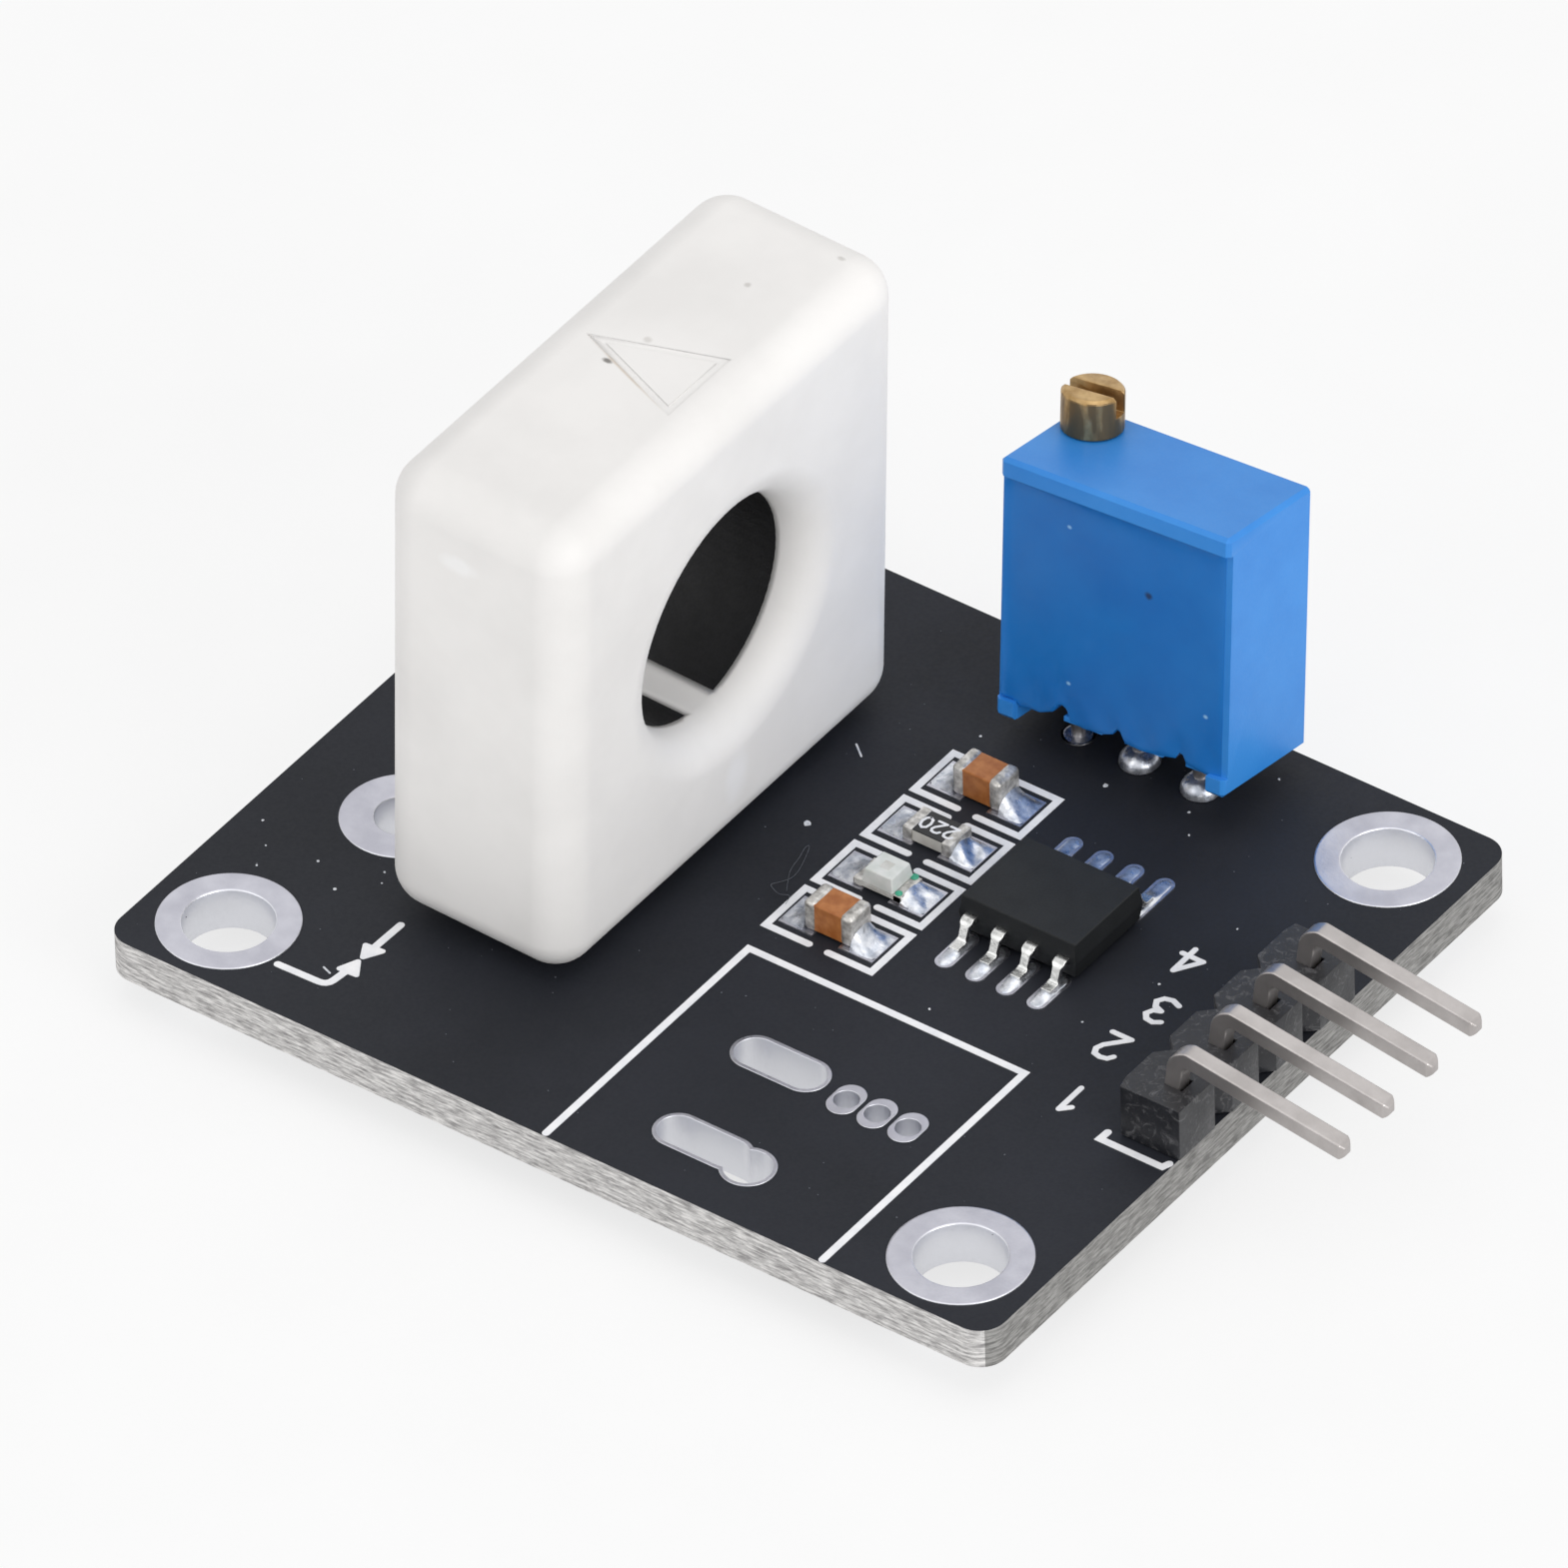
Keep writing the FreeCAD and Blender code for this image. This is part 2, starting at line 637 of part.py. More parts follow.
def make_header():
    """Four bent square pins in one black moulding of four chamfered blocks."""
    last = HEADER_WAYS - 1
    pins = []
    for x, y in header_spots:
        pin = new_body("HeaderPin")
        side = sketch_on(pin, "XZ_Plane")
        half = "pin_size / 2"
        fall = "pin_droop / pin_reach"
        rise = "board_thickness + pin_rise"
        outline(side, [("-" + half, "-stub_length"), (half, "-stub_length"),
                       (half, "%s - %s - %s * %s" % (rise, half, fall, half)),
                       ("pin_reach", "%s - %s - pin_droop" % (rise, half)),
                       ("pin_reach", "%s + %s - pin_droop" % (rise, half)),
                       ("-" + half, "%s + %s + %s * %s" % (rise, half, fall, half))])
        pad(pin, side, "pin_size", midplane=True)
        inner = size("pin_size") / 2
        reach = size("pin_reach")
        lift = BOARD_TOP + size("pin_rise")
        crosswise = [lambda edge: edge_box(edge).XLength < 0.01 and edge_box(edge).ZLength < 0.01][0]
        dress(pin, "Fillet", "pin_bend + pin_size",
              lambda edge: crosswise(edge) and edge_box(edge).XMax < 0 and edge_box(edge).ZMin > lift)
        dress(pin, "Fillet", "pin_bend",
              lambda edge: crosswise(edge) and abs(edge_box(edge).XMax - inner) < 0.01
              and edge_box(edge).ZMin > BOARD_TOP)
        dress(pin, "Chamfer", "pin_chamfer", lambda edge: edge_box(edge).XMin > reach - 0.01)
        pin.Placement = frame_at(x, y)
        pins.append(pin)
    pins = node(group("HeaderPins", pins), "header_pins")
    block = new_body("HeaderBlock")
    plan = sketch_on(block, "XY_Plane")
    side = "header_pitch / 2"
    bevel = side + " - header_chamfer"
    low = "- %d * header_pitch / 2" % last
    outline(plan, [(bevel, "-%s %s" % (side, low)), (side, "-(%s) %s" % (bevel, low)),
                   (side, "%s %s" % (bevel, low)), (bevel, "%s %s" % (side, low)),
                   ("-(%s)" % bevel, "%s %s" % (side, low)), ("-" + side, "%s %s" % (bevel, low)),
                   ("-" + side, "-(%s) %s" % (bevel, low)), ("-(%s)" % bevel, "-%s %s" % (side, low))])
    unit = pad(block, plan, "header_height")
    doc.recompute()
    repeat_along(block, unit, "Y_Axis", "%d * header_pitch" % last, HEADER_WAYS)
    block.Placement = frame_at(size("header_x"), size("header_y"), PAD_TOP)
    node(cut("HeaderMoulding", block, pins), "header_block")
    make_solder("header_solder", header_spots, pins)


def part_row(index):
    """Frame of one place in the row of two-ended parts, on top of its pads."""
    return frame_at(size("part_x"), size("part_first_y") + index * size("part_pitch"), PAD_TOP)


def two_ends(name, length, width, height, inset, core, z=0.0, chamfer=None):
    """Pair of metal end caps with a body removed from them."""
    ends = []
    for side in (-1, 1):
        place = side * (size("part_length") - inset) / 2
        cap = new_body("%sCap%s" % (name, "LR"[side > 0]))
        plan = sketch_on(cap, "XY_Plane", z)
        rectangle(plan, "%.6f - (%s) / 2" % (place, length), "%.6f + (%s) / 2" % (place, length),
                  "-(%s) / 2" % width, "(%s) / 2" % width)
        pad(cap, plan, height)
        if chamfer:
            dress(cap, "Chamfer", chamfer, lambda edge: True)
        ends.append(cap)
    return cut(name + "Ends", group(name + "Caps", ends), core)


def make_capacitor(label, index):
    name = label.title().replace("_", "")
    frame = part_row(index)
    inner = "part_length - 2 * terminal_wall"
    ceramic = new_body(name + "Ceramic")
    plan = sketch_on(ceramic, "XY_Plane", size("terminal_wall"))
    rectangle(plan, "-(%s) / 2" % inner, "(%s) / 2" % inner, "-part_width / 2 + terminal_wall",
              "part_width / 2 - terminal_wall")
    pad(ceramic, plan, "capacitor_height - 2 * terminal_wall")
    dress(ceramic, "Chamfer", "capacitor_chamfer - terminal_wall", lambda edge: True)
    ends = two_ends(name, "capacitor_terminal", "part_width", "capacitor_height", size("capacitor_terminal"),
                    ceramic, chamfer="capacitor_chamfer")
    node(ends, label + "_terminals", frame)
    node(group(name + "Body", [ceramic]), label + "_body", frame)


def make_resistor(index):
    frame = part_row(index)
    body_top = "resistor_height - terminal_wall"
    ceramic = box("ResistorCeramic", "part_length - 2 * terminal_wall", "part_width - 2 * terminal_wall",
                  body_top + " - terminal_wall", 0, 0, size("terminal_wall"))
    coat = box("ResistorCoat", "part_length - 2 * resistor_terminal", "part_width - 2 * terminal_wall",
               "coat_thickness", 0, 0, size("resistor_height") - size("terminal_wall"))
    ends = two_ends("Resistor", "resistor_terminal", "part_width", "resistor_height",
                    size("resistor_terminal"), ceramic)
    node(ends, "resistor_terminals", frame)
    node(group("ResistorBody", [ceramic]), "resistor_body", frame)
    node(group("ResistorPaint", [coat]), "resistor_coat", frame)


def make_lamp(index):
    """Indicator: a thin base with metal ends, and a moulded lens on it."""
    frame = part_row(index)
    base = box("LampBase", "part_length - 2 * terminal_wall", "part_width", "lamp_base - 2 * terminal_wall",
               0, 0, size("terminal_wall"))
    ends = two_ends("Lamp", "lamp_terminal", "part_width", "lamp_base", size("lamp_terminal"), base)
    lens = new_body("LampLens")
    plan = sketch_on(lens, "XY_Plane", size("lamp_base") - size("terminal_wall"))
    rectangle(plan, "-lens_length / 2", "lens_length / 2", "-part_width / 2", "part_width / 2")
    pad(lens, plan, "lens_height + terminal_wall", taper="-lens_taper")
    node(ends, "indicator_terminals", frame)
    node(group("LampPlate", [base]), "indicator_base", frame)
    node(lens, "indicator_lens", frame)


def make_part_pads():
    pads = []
    for index in range(4):
        spot = part_row(index).Base
        for side in (-1, 1):
            x = spot.x + side * (size("pad_gap") + size("pad_length")) / 2
            pads.append(box("PartPad", "pad_length", "pad_width", "plating", x, spot.y, BOARD_TOP))
    node(group("PartPads", pads), "chip_part_pads")


def make_amplifier():
    """Moulded body that narrows both ways from its leads, with four bent leads on each side."""
    frame = frame_at(size("amplifier_x"), size("amplifier_y"), PAD_TOP)
    middle = size("amplifier_standoff") + size("amplifier_height") / 2
    body = new_body("AmplifierBlank")
    for backwards in (False, True):
        plan = sketch_on(body, "XY_Plane", middle)
        rectangle(plan, "-amplifier_length / 2", "amplifier_length / 2", "-amplifier_width / 2",
                  "amplifier_width / 2")
        pad(body, plan, "amplifier_height / 2", backwards=backwards, taper="-amplifier_taper")
        doc.recompute()
    body.Placement = frame
    leads = new_body("AmplifierLeads")
    side = sketch_on(leads, "YZ_Plane", -(AMPLIFIER_SIDE_LEADS - 1) / 2 * size("amplifier_pitch"))
    height = "amplifier_standoff + amplifier_height / 2"
    edge = "amplifier_width / 2"
    toe = "amplifier_span / 2"
    thick = "gull_thickness"
    shape = [(edge + " - gull_root", height + " + gull_thickness / 2"),
             (edge + " + gull_shoulder", height + " + gull_thickness / 2"),
             (toe + " - gull_foot + gull_thickness / 2", thick), (toe, thick), (toe, "0"),
             (toe + " - gull_foot - gull_thickness / 2", "0"),
             (edge + " + gull_shoulder - gull_thickness", height + " - gull_thickness / 2"),
             (edge + " - gull_root", height + " - gull_thickness / 2")]
    outline(side, shape)
    outline(side, [("-(%s)" % across, up) for across, up in shape])
    pair = pad(leads, side, "gull_width", midplane=True)
    doc.recompute()
    repeat_along(leads, pair, "X_Axis", "%d * amplifier_pitch" % (AMPLIFIER_SIDE_LEADS - 1),
                 AMPLIFIER_SIDE_LEADS)
    node(leads, "amplifier_leads", frame)
    node(cut("Amplifier", body, leads), "amplifier_body")
    pads = []
    for lead in range(AMPLIFIER_SIDE_LEADS):
        x = frame.Base.x + (lead - (AMPLIFIER_SIDE_LEADS - 1) / 2) * size("amplifier_pitch")
        for side_sign in (-1, 1):
            y = frame.Base.y + side_sign * (size("chip_pad_end") - size("chip_pad_length") / 2)
            pads.append(box("AmplifierPad", "chip_pad_width", "chip_pad_length", "plating", x, y, BOARD_TOP))
    node(group("AmplifierPads", pads), "amplifier_pads")


# The mechanism's places across the trimmer's front. The worm wheel takes the room that the case leaves it.
CAVITY_HEIGHT = size("trimmer_height") - size("trimmer_roof") - size("trimmer_floor")
SCREW_X = -size("trimmer_length") / 2 + size("screw_inset")
MESH_X = SCREW_X + size("screw_core_radius") + size("mesh_clearance")
WALL_X = size("trimmer_length") / 2 - size("trimmer_wall")
ROTOR_RADIUS = min(CAVITY_HEIGHT / 2 - size("rotor_clearance"), (WALL_X - size("rotor_clearance") - MESH_X) / 2)
ROTOR_X = MESH_X + ROTOR_RADIUS
ROTOR_Z = size("trimmer_floor") + CAVITY_HEIGHT / 2
TRACK_RADIUS = ROTOR_RADIUS - size("track_inset")
COLLECTOR_RADIUS = TRACK_RADIUS - size("collector_gap") - (size("track_width") + size("collector_width")) / 2


def trimmer_frame(x=0.0, y=0.0, z=0.0):
    return TRIMMER * frame_at(x, y, z)


def make_trimmer_case():
    """Blue case, open at its front, with corner lugs round a recessed face and notches for the leads."""
    body = new_body("TrimmerBlank")
    front = sketch_on(body, "XZ_Plane")
    half = "trimmer_length / 2"
    rectangle(front, "-" + half, half, "0", "trimmer_height")
    pad(body, front, "trimmer_depth", midplane=True)
    dress(body, "Chamfer", "trimmer_chamfer", lambda edge: True)
    face = sketch_on(body, "XZ_Plane", size("trimmer_depth") / 2)
    lug_x = half + " - lug_width"
    wide = half + " + %f" % CUT_MARGIN
    outline(face, [("-(%s)" % lug_x, "-%f" % CUT_MARGIN), (lug_x, "-%f" % CUT_MARGIN), (lug_x, "lug_height"),
                   (wide, "lug_height"), (wide, "trimmer_height - lug_height"),
                   ("-(%s)" % wide, "trimmer_height - lug_height"), ("-(%s)" % wide, "lug_height"),
                   ("-(%s)" % lug_x, "lug_height")])
    pocket(body, face, "face_recess")
    cavity = sketch_on(body, "XZ_Plane", size("trimmer_depth") / 2)
    rectangle(cavity, "-%s + trimmer_wall" % half, half + " - trimmer_wall", "trimmer_floor",
              "trimmer_height - trimmer_roof")
    pocket(body, cavity, "trimmer_depth - trimmer_back")
    notches = sketch_on(body, "XZ_Plane", size("trimmer_depth") / 2)
    for step in (-1, 0, 1):
        rectangle(notches, "%d * trimmer_pitch - notch_width / 2" % step,
                  "%d * trimmer_pitch + notch_width / 2" % step, "-%f" % CUT_MARGIN,
                  "trimmer_floor + %f" % CUT_MARGIN)
    pocket(body, notches, "trimmer_depth / 2 + %.6f + trimmer_pin_radius + notch_depth" % LEAD_ROW)
    shaft = sketch_on(body, "XY_Plane", size("trimmer_floor"))
    circle(shaft, "-%s + screw_inset" % half, "trimmer_depth / 2 - screw_inset",
           "screw_shank_radius + screw_clearance")
    pocket(body, shaft, backwards=True)
    socket = sketch_on(body, "XY_Plane", size("trimmer_floor") / 2)
    circle(socket, "-%s + screw_inset" % half, "trimmer_depth / 2 - screw_inset",
           "screw_tail_radius + screw_clearance")
    pocket(body, socket, "trimmer_floor", backwards=True)
    hub = sketch_on(body, "XZ_Plane", -size("trimmer_depth") / 2 + size("trimmer_back") / 2)
    circle(hub, "%.6f" % ROTOR_X, "%.6f" % ROTOR_Z, "journal_radius + screw_clearance")
    pocket(body, hub, "trimmer_back", backwards=True)
    return node(body, "trimmer_case", TRIMMER)


def flat_ring(kind, radius):
    """Printed ring on the element plate, round the rotor's axis."""
    turn = Rotation(Vector(1, 0, 0), -90)
    outer = drum(kind + "_outer", "%.6f + %s_width / 2" % (radius, kind), "track_thickness",
                 ROTOR_X, ELEMENT_FACE, ROTOR_Z, turn)
    inner = drum(kind + "_inner", "%.6f - %s_width / 2" % (radius, kind), "track_thickness + %f" % CUT_MARGIN,
                 ROTOR_X, ELEMENT_FACE - CUT_MARGIN / 2, ROTOR_Z, turn)
    return cut(kind + "_ring", outer, inner)


def make_trimmer_inside():
    """Element plate with its track, the leads, and the resin that closes the front."""
    front = size("trimmer_depth") / 2 - size("face_recess")
    element_middle = ELEMENT_FACE - size("element_thickness") / 2
    y_turn = Rotation(Vector(1, 0, 0), -90)
    element_height = "%.6f - 2 * element_clearance" % CAVITY_HEIGHT
    plate = box("ElementPlate", "element_width", "element_thickness", element_height,
                0, element_middle, size("trimmer_floor") + size("element_clearance"))
    eye = drum("ElementEye", "journal_radius + screw_clearance", "element_thickness + %f" % (2 * CUT_MARGIN),
               ROTOR_X, ELEMENT_FACE - size("element_thickness") - CUT_MARGIN, ROTOR_Z, y_turn)
    element = node(cut("Element", plate, eye), "resistance_element", trimmer_frame())
    opening = box("TrackOpening", "track_opening", "track_thickness + %f" % CUT_MARGIN,
                  "%.6f + track_width" % TRACK_RADIUS, ROTOR_X, ELEMENT_FACE,
                  ROTOR_Z - TRACK_RADIUS - size("track_width"))
    node(cut("TrackArc", flat_ring("track", TRACK_RADIUS), opening), "resistance_track", trimmer_frame())
    node(flat_ring("collector", COLLECTOR_RADIUS), "collector_ring", trimmer_frame())
    leads = [drum("TrimmerLead", "trimmer_pin_radius",
                  "stub_length + board_thickness + trimmer_rise + trimmer_pin_top", x, y, -size("stub_length"))
             for x, y in trimmer_spots]
    leads = node(group("TrimmerLeads", leads), "trimmer_leads")
    fill_depth = "trimmer_depth / 2 - face_recess + %.6f" % (ELEMENT_FACE - size("element_thickness"))
    fill_middle = (ELEMENT_FACE - size("element_thickness") - front) / 2
    resin = box("ResinBlank", "trimmer_length - 2 * trimmer_wall", fill_depth,
                "trimmer_height - trimmer_roof - trimmer_floor", 0, fill_middle, size("trimmer_floor"))
    placed = group("ResinPlaced", [resin])
    placed.Placement = TRIMMER
    node(cut("Resin", placed, leads), "trimmer_resin")
    make_solder("trimmer_solder", trimmer_spots, leads, domed=True)
    return element


def make_screw():
    """Brass adjusting screw: slotted head, sealed shank, worm core and tail journal."""
    body = new_body("ScrewBlank")
    profile = sketch_on(body, "XZ_Plane")
    top = "trimmer_height + screw_clearance"
    head = top + " + screw_head_height"
    groove_top = "trimmer_height - seal_height"
    groove_low = "trimmer_height - 2 * seal_height - 2 * screw_clearance"
    neck = "screw_shank_radius - seal_depth"
    tail = "trimmer_floor / 2 + screw_clearance"
    roof = "trimmer_height - trimmer_roof"
    step = "trimmer_floor + screw_clearance"
    outline(profile, [("0", tail), ("screw_tail_radius", tail), ("screw_tail_radius", step),
                      ("screw_core_radius", step), ("screw_core_radius", roof),
                      ("screw_shank_radius", roof), ("screw_shank_radius", groove_low), (neck, groove_low),
                      (neck, groove_top), ("screw_shank_radius", groove_top), ("screw_shank_radius", top),
                      ("screw_head_radius", top), ("screw_head_radius", head + " - screw_chamfer"),
                      ("screw_head_radius - screw_chamfer", head), ("0", head)])
    revolve(body, profile, "Z_Axis")
    head_top = size("trimmer_height") + size("screw_clearance") + size("screw_head_height")
    slot = sketch_on(body, "XY_Plane", head_top)
    rectangle(slot, "-screw_head_radius * 2", "screw_head_radius * 2", "-screw_slot_width / 2",
              "screw_slot_width / 2")
    slot.AttachmentOffset = frame_at(z=head_top, rotation=Rotation(Vector(0, 0, 1), size("screw_slot_angle")))
    pocket(body, slot, "screw_slot_depth")
    node(body, "adjusting_screw", trimmer_frame(SCREW_X, SCREW_Y))
    ring = new_body("SealBlank")
    section = sketch_on(ring, "XZ_Plane")
    low = "trimmer_height - 2 * seal_height - screw_clearance"
    rectangle(section, neck + " + screw_clearance", "screw_shank_radius + screw_clearance", low,
              low + " + seal_height")
    revolve(ring, section, "Z_Axis")
    node(ring, "screw_seal", trimmer_frame(SCREW_X, SCREW_Y))


def make_rotor():
    """Worm wheel on two journals, with a wiper across its front."""
    body = new_body("RotorBlank")
    half = "rotor_thickness / 2"
    root = "%.6f - tooth_height" % ROTOR_RADIUS
    front_end = "%.6f" % (ELEMENT_FACE - SCREW_Y - size("journal_end"))
    back_end = "trimmer_depth / 2 - trimmer_back / 2 - %.6f - screw_clearance" % SCREW_Y
    profile = sketch_on(body, "XY_Plane")
    outline(profile, [("0", front_end), ("journal_radius", front_end), ("journal_radius", "-" + half),
                      (root, "-" + half), (root, half), ("journal_radius", half), ("journal_radius", back_end),
                      ("0", back_end)])
    revolve(body, profile, "Y_Axis")
    doc.recompute()
    tooth_plan = sketch_on(body, "XZ_Plane")
    outline(tooth_plan, [(root + " - tooth_height / 2", "-tooth_root / 2"), (root, "-tooth_root / 2"),
                         ("%.6f" % ROTOR_RADIUS, "-tooth_tip / 2"), ("%.6f" % ROTOR_RADIUS, "tooth_tip / 2"),
                         (root, "tooth_root / 2"), (root + " - tooth_height / 2", "tooth_root / 2")])
    tooth = pad(body, tooth_plan, "rotor_thickness", midplane=True)
    doc.recompute()
    teeth = body.newObject("PartDesign::PolarPattern", "RotorTeeth")
    teeth.Originals = [tooth]
    teeth.Axis = (origin_feature(body, "Y_Axis"), [""])
    teeth.Angle = 360
    bind(teeth, Occurrences="tooth_count")
    body.Tip = teeth
    node(body, "trimmer_rotor", trimmer_frame(ROTOR_X, SCREW_Y, ROTOR_Z))
    y_turn = Rotation(Vector(1, 0, 0), -90)
    back = -size("rotor_thickness") / 2
    span = "%.6f + 2 * wiper_overrun" % (TRACK_RADIUS + COLLECTOR_RADIUS)
    bar = box("WiperBar", "wiper_width", "wiper_thickness", span,
              0, back - size("wiper_thickness") / 2, -COLLECTOR_RADIUS - size("wiper_overrun"))
    contacts = [drum("WiperContact", "contact_radius", "wiper_gap - track_thickness - screw_clearance", 0,
                     ELEMENT_FACE - SCREW_Y + size("track_thickness") + size("screw_clearance"), z, y_turn)
                for z in (TRACK_RADIUS, -COLLECTOR_RADIUS)]
    hub = drum("WiperHub", "wiper_hub_radius", "wiper_thickness", 0, back - size("wiper_thickness"), 0, y_turn)
    eye = drum("WiperEye", "journal_radius", "wiper_thickness + %f" % (2 * CUT_MARGIN), 0,
               back - size("wiper_thickness") - CUT_MARGIN, 0, y_turn)
    wiper = cut("Wiper", fuse("WiperBlank", bar, hub, *contacts), eye)
    node(wiper, "trimmer_wiper", trimmer_frame(ROTOR_X, SCREW_Y, ROTOR_Z))


def export_nodes():
    """Check every object and shape, then write one file per sub-part."""
    doc.recompute()
    for thing in doc.Objects:
        if "Invalid" in thing.State or "Error" in thing.State:
            raise RuntimeError("%s failed: %s" % (thing.Label, thing.State))
    for thing in nodes:
        if thing.Shape.isNull() or not thing.Shape.isValid() or not thing.Shape.Solids:
            raise RuntimeError("%s has no valid shape" % thing.Label)
    os.makedirs("parts", exist_ok=True)
    for thing in nodes:
        thing.Shape.exportStep("parts/%s.step" % thing.Label)
        print("%-24s %2d solids %9.3f mm3" % (thing.Label, len(thing.Shape.Solids), thing.Shape.Volume))


make_board()
make_platings()
make_slot_linings()
make_signal_pads()
make_part_pads()
make_sensor()
make_header()
make_capacitor("capacitor_near", 0)
make_lamp(1)
make_resistor(2)
make_capacitor("capacitor_far", 3)
make_amplifier()
make_trimmer_case()
make_trimmer_inside()
make_screw()
make_rotor()
export_nodes()
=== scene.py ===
# %% [markdown]
# # A hall effect current sensor module
# A white square block with a conductor hole stands on a small black circuit board. Beside it are an
# amplifier, a row of chip parts, a blue trimmer with a brass screw and a four-way pin header.
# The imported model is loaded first: it is the fixed frame that every later piece is built on, so no
# piece is fitted by eye. Everything is in metres, with +Z up from the board.

import json
import math

import bmesh
import bpy
import numpy as np
from mathutils import Matrix, Vector

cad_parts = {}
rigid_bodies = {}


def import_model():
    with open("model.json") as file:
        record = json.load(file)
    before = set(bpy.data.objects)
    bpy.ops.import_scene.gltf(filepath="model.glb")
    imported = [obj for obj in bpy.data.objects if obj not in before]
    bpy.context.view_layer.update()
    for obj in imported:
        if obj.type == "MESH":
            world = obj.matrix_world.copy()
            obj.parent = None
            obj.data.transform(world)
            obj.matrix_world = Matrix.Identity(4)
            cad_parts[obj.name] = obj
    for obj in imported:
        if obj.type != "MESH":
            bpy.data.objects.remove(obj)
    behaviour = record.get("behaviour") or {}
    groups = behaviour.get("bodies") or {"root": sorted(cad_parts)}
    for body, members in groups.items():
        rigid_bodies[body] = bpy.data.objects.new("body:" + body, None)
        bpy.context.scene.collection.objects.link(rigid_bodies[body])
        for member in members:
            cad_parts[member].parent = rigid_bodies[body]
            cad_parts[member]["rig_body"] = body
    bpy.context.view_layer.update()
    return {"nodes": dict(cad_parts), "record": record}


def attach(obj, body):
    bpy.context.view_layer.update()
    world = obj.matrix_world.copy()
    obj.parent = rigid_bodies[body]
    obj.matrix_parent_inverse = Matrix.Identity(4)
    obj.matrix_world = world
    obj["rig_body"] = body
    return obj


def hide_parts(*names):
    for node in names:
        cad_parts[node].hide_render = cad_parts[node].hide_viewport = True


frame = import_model()
MM = 0.001
BOARD_TOP = 1.6

# %% [markdown]
# ## The camera
# The photograph was taken from far away with a long lens, so parallel edges stay almost parallel.
# A real lens and a real distance keep that slight convergence, which an orthographic camera would
# lose. The camera is turned about its own axis by under two degrees, as it was for the photograph.

# %% Camera at the photograph's angle
AZIMUTH, ELEVATION, ROLL = (math.radians(angle) for angle in (37.05, 40.14, -1.72))
DISTANCE_MM = 1099.15
PIXELS_PER_MM = 29.662
IMAGE_SIDE = 1569
AIM_MM = np.array([-0.85, -0.25, 1.6])
AIM_SHIFT_MM = (-0.0065, -3.4308)
SENSOR_MM = 36.0


def camera_axes(azimuth, elevation, roll):
    """Right, up and forward unit vectors: a heading and a dip, then a turn about the line of sight."""
    level = np.array([math.cos(azimuth), math.sin(azimuth), 0.0])
    heading = np.array([-math.sin(azimuth), math.cos(azimuth), 0.0])
    forward = heading * math.cos(elevation) - np.array([0, 0, math.sin(elevation)])
    upward = heading * math.sin(elevation) + np.array([0, 0, math.cos(elevation)])
    right = level * math.cos(roll) + upward * math.sin(roll)
    up = upward * math.cos(roll) - level * math.sin(roll)
    return right, up, forward


def put(name, data):
    """A new object round a camera, a lamp or a mesh, linked into the scene."""
    made = bpy.data.objects.new(name, data)
    bpy.context.scene.collection.objects.link(made)
    return made


right, up, forward = camera_axes(AZIMUTH, ELEVATION, ROLL)
eye = AIM_MM - right * AIM_SHIFT_MM[0] - up * AIM_SHIFT_MM[1] - forward * DISTANCE_MM
camera = put("camera", bpy.data.cameras.new("camera"))
axes = Matrix(np.column_stack([right, up, -forward])).to_4x4()
camera.matrix_world = Matrix.Translation(Vector(eye * MM)) @ axes
camera.data.sensor_width = SENSOR_MM
camera.data.lens = SENSOR_MM * PIXELS_PER_MM * DISTANCE_MM / IMAGE_SIDE
camera.data.clip_start, camera.data.clip_end = 0.05, 20.0
bpy.context.scene.camera = camera
print("camera: %.0f mm lens from %.2f m" % (camera.data.lens, DISTANCE_MM * MM))

# %% [markdown]
# ## Light, floor and background
# Small products are photographed inside white diffusers, so the light comes from everywhere and a
# little more from above. A bright world with large soft lamps does the same. The background is white
# because the world answers the camera with white, not because there is more light on the object. The
# floor glows a little for the same reason, and it is clear from below, where the board's underside
# can be looked at.

# %% Soft studio light on a pale floor
FLOOR_Z = -1.3 * MM
FLOOR_HALF = 0.6
FLOOR_GLOW = 0.75
AMBIENT = 0.62
WHITE = (1, 1, 1, 1)
LAMPS = {
    "top_softbox": ((0.03, 0.05, 0.55), 0.50, 0.52),
    "right_softbox": ((0.55, -0.12, 0.24), 0.40, 1.42),
    "front_softbox": ((-0.22, -0.50, 0.30), 0.40, 0.42),
}


def linear(code):
    """Linear red, green, blue and alpha of an sRGB hex colour."""
    parts = np.array([int(code[i:i + 2], 16) for i in (1, 3, 5)]) / 255.0
    light = np.where(parts <= 0.04045, parts / 12.92, ((parts + 0.055) / 1.055) ** 2.4)
    return (*light.tolist(), 1.0)


def add(tree, kind, inputs=None, **settings):
    """Add one shader node. Settings are its properties; inputs are values, or nodes or sockets to link."""
    node = tree.nodes.new("ShaderNode" + kind)
    for name, value in settings.items():
        setattr(node, name, value)
    for socket, value in (inputs or {}).items():
        if isinstance(value, bpy.types.Node):
            value = value.outputs[0]
        if isinstance(value, bpy.types.NodeSocket):
            tree.links.new(value, node.inputs[socket])
        else:
            node.inputs[socket].default_value = value
    return node


def seen_directly(tree):
    """1 for what the camera sees itself, off a mirror or through clear resin, and 0 for soft light."""
    rays = add(tree, "LightPath")
    seen = rays.outputs["Is Camera Ray"]
    for kind in ("Is Glossy Ray", "Is Transmission Ray"):
        seen = add(tree, "Math", {0: seen, 1: rays.outputs[kind]}, operation="MAXIMUM").outputs[0]
    return seen


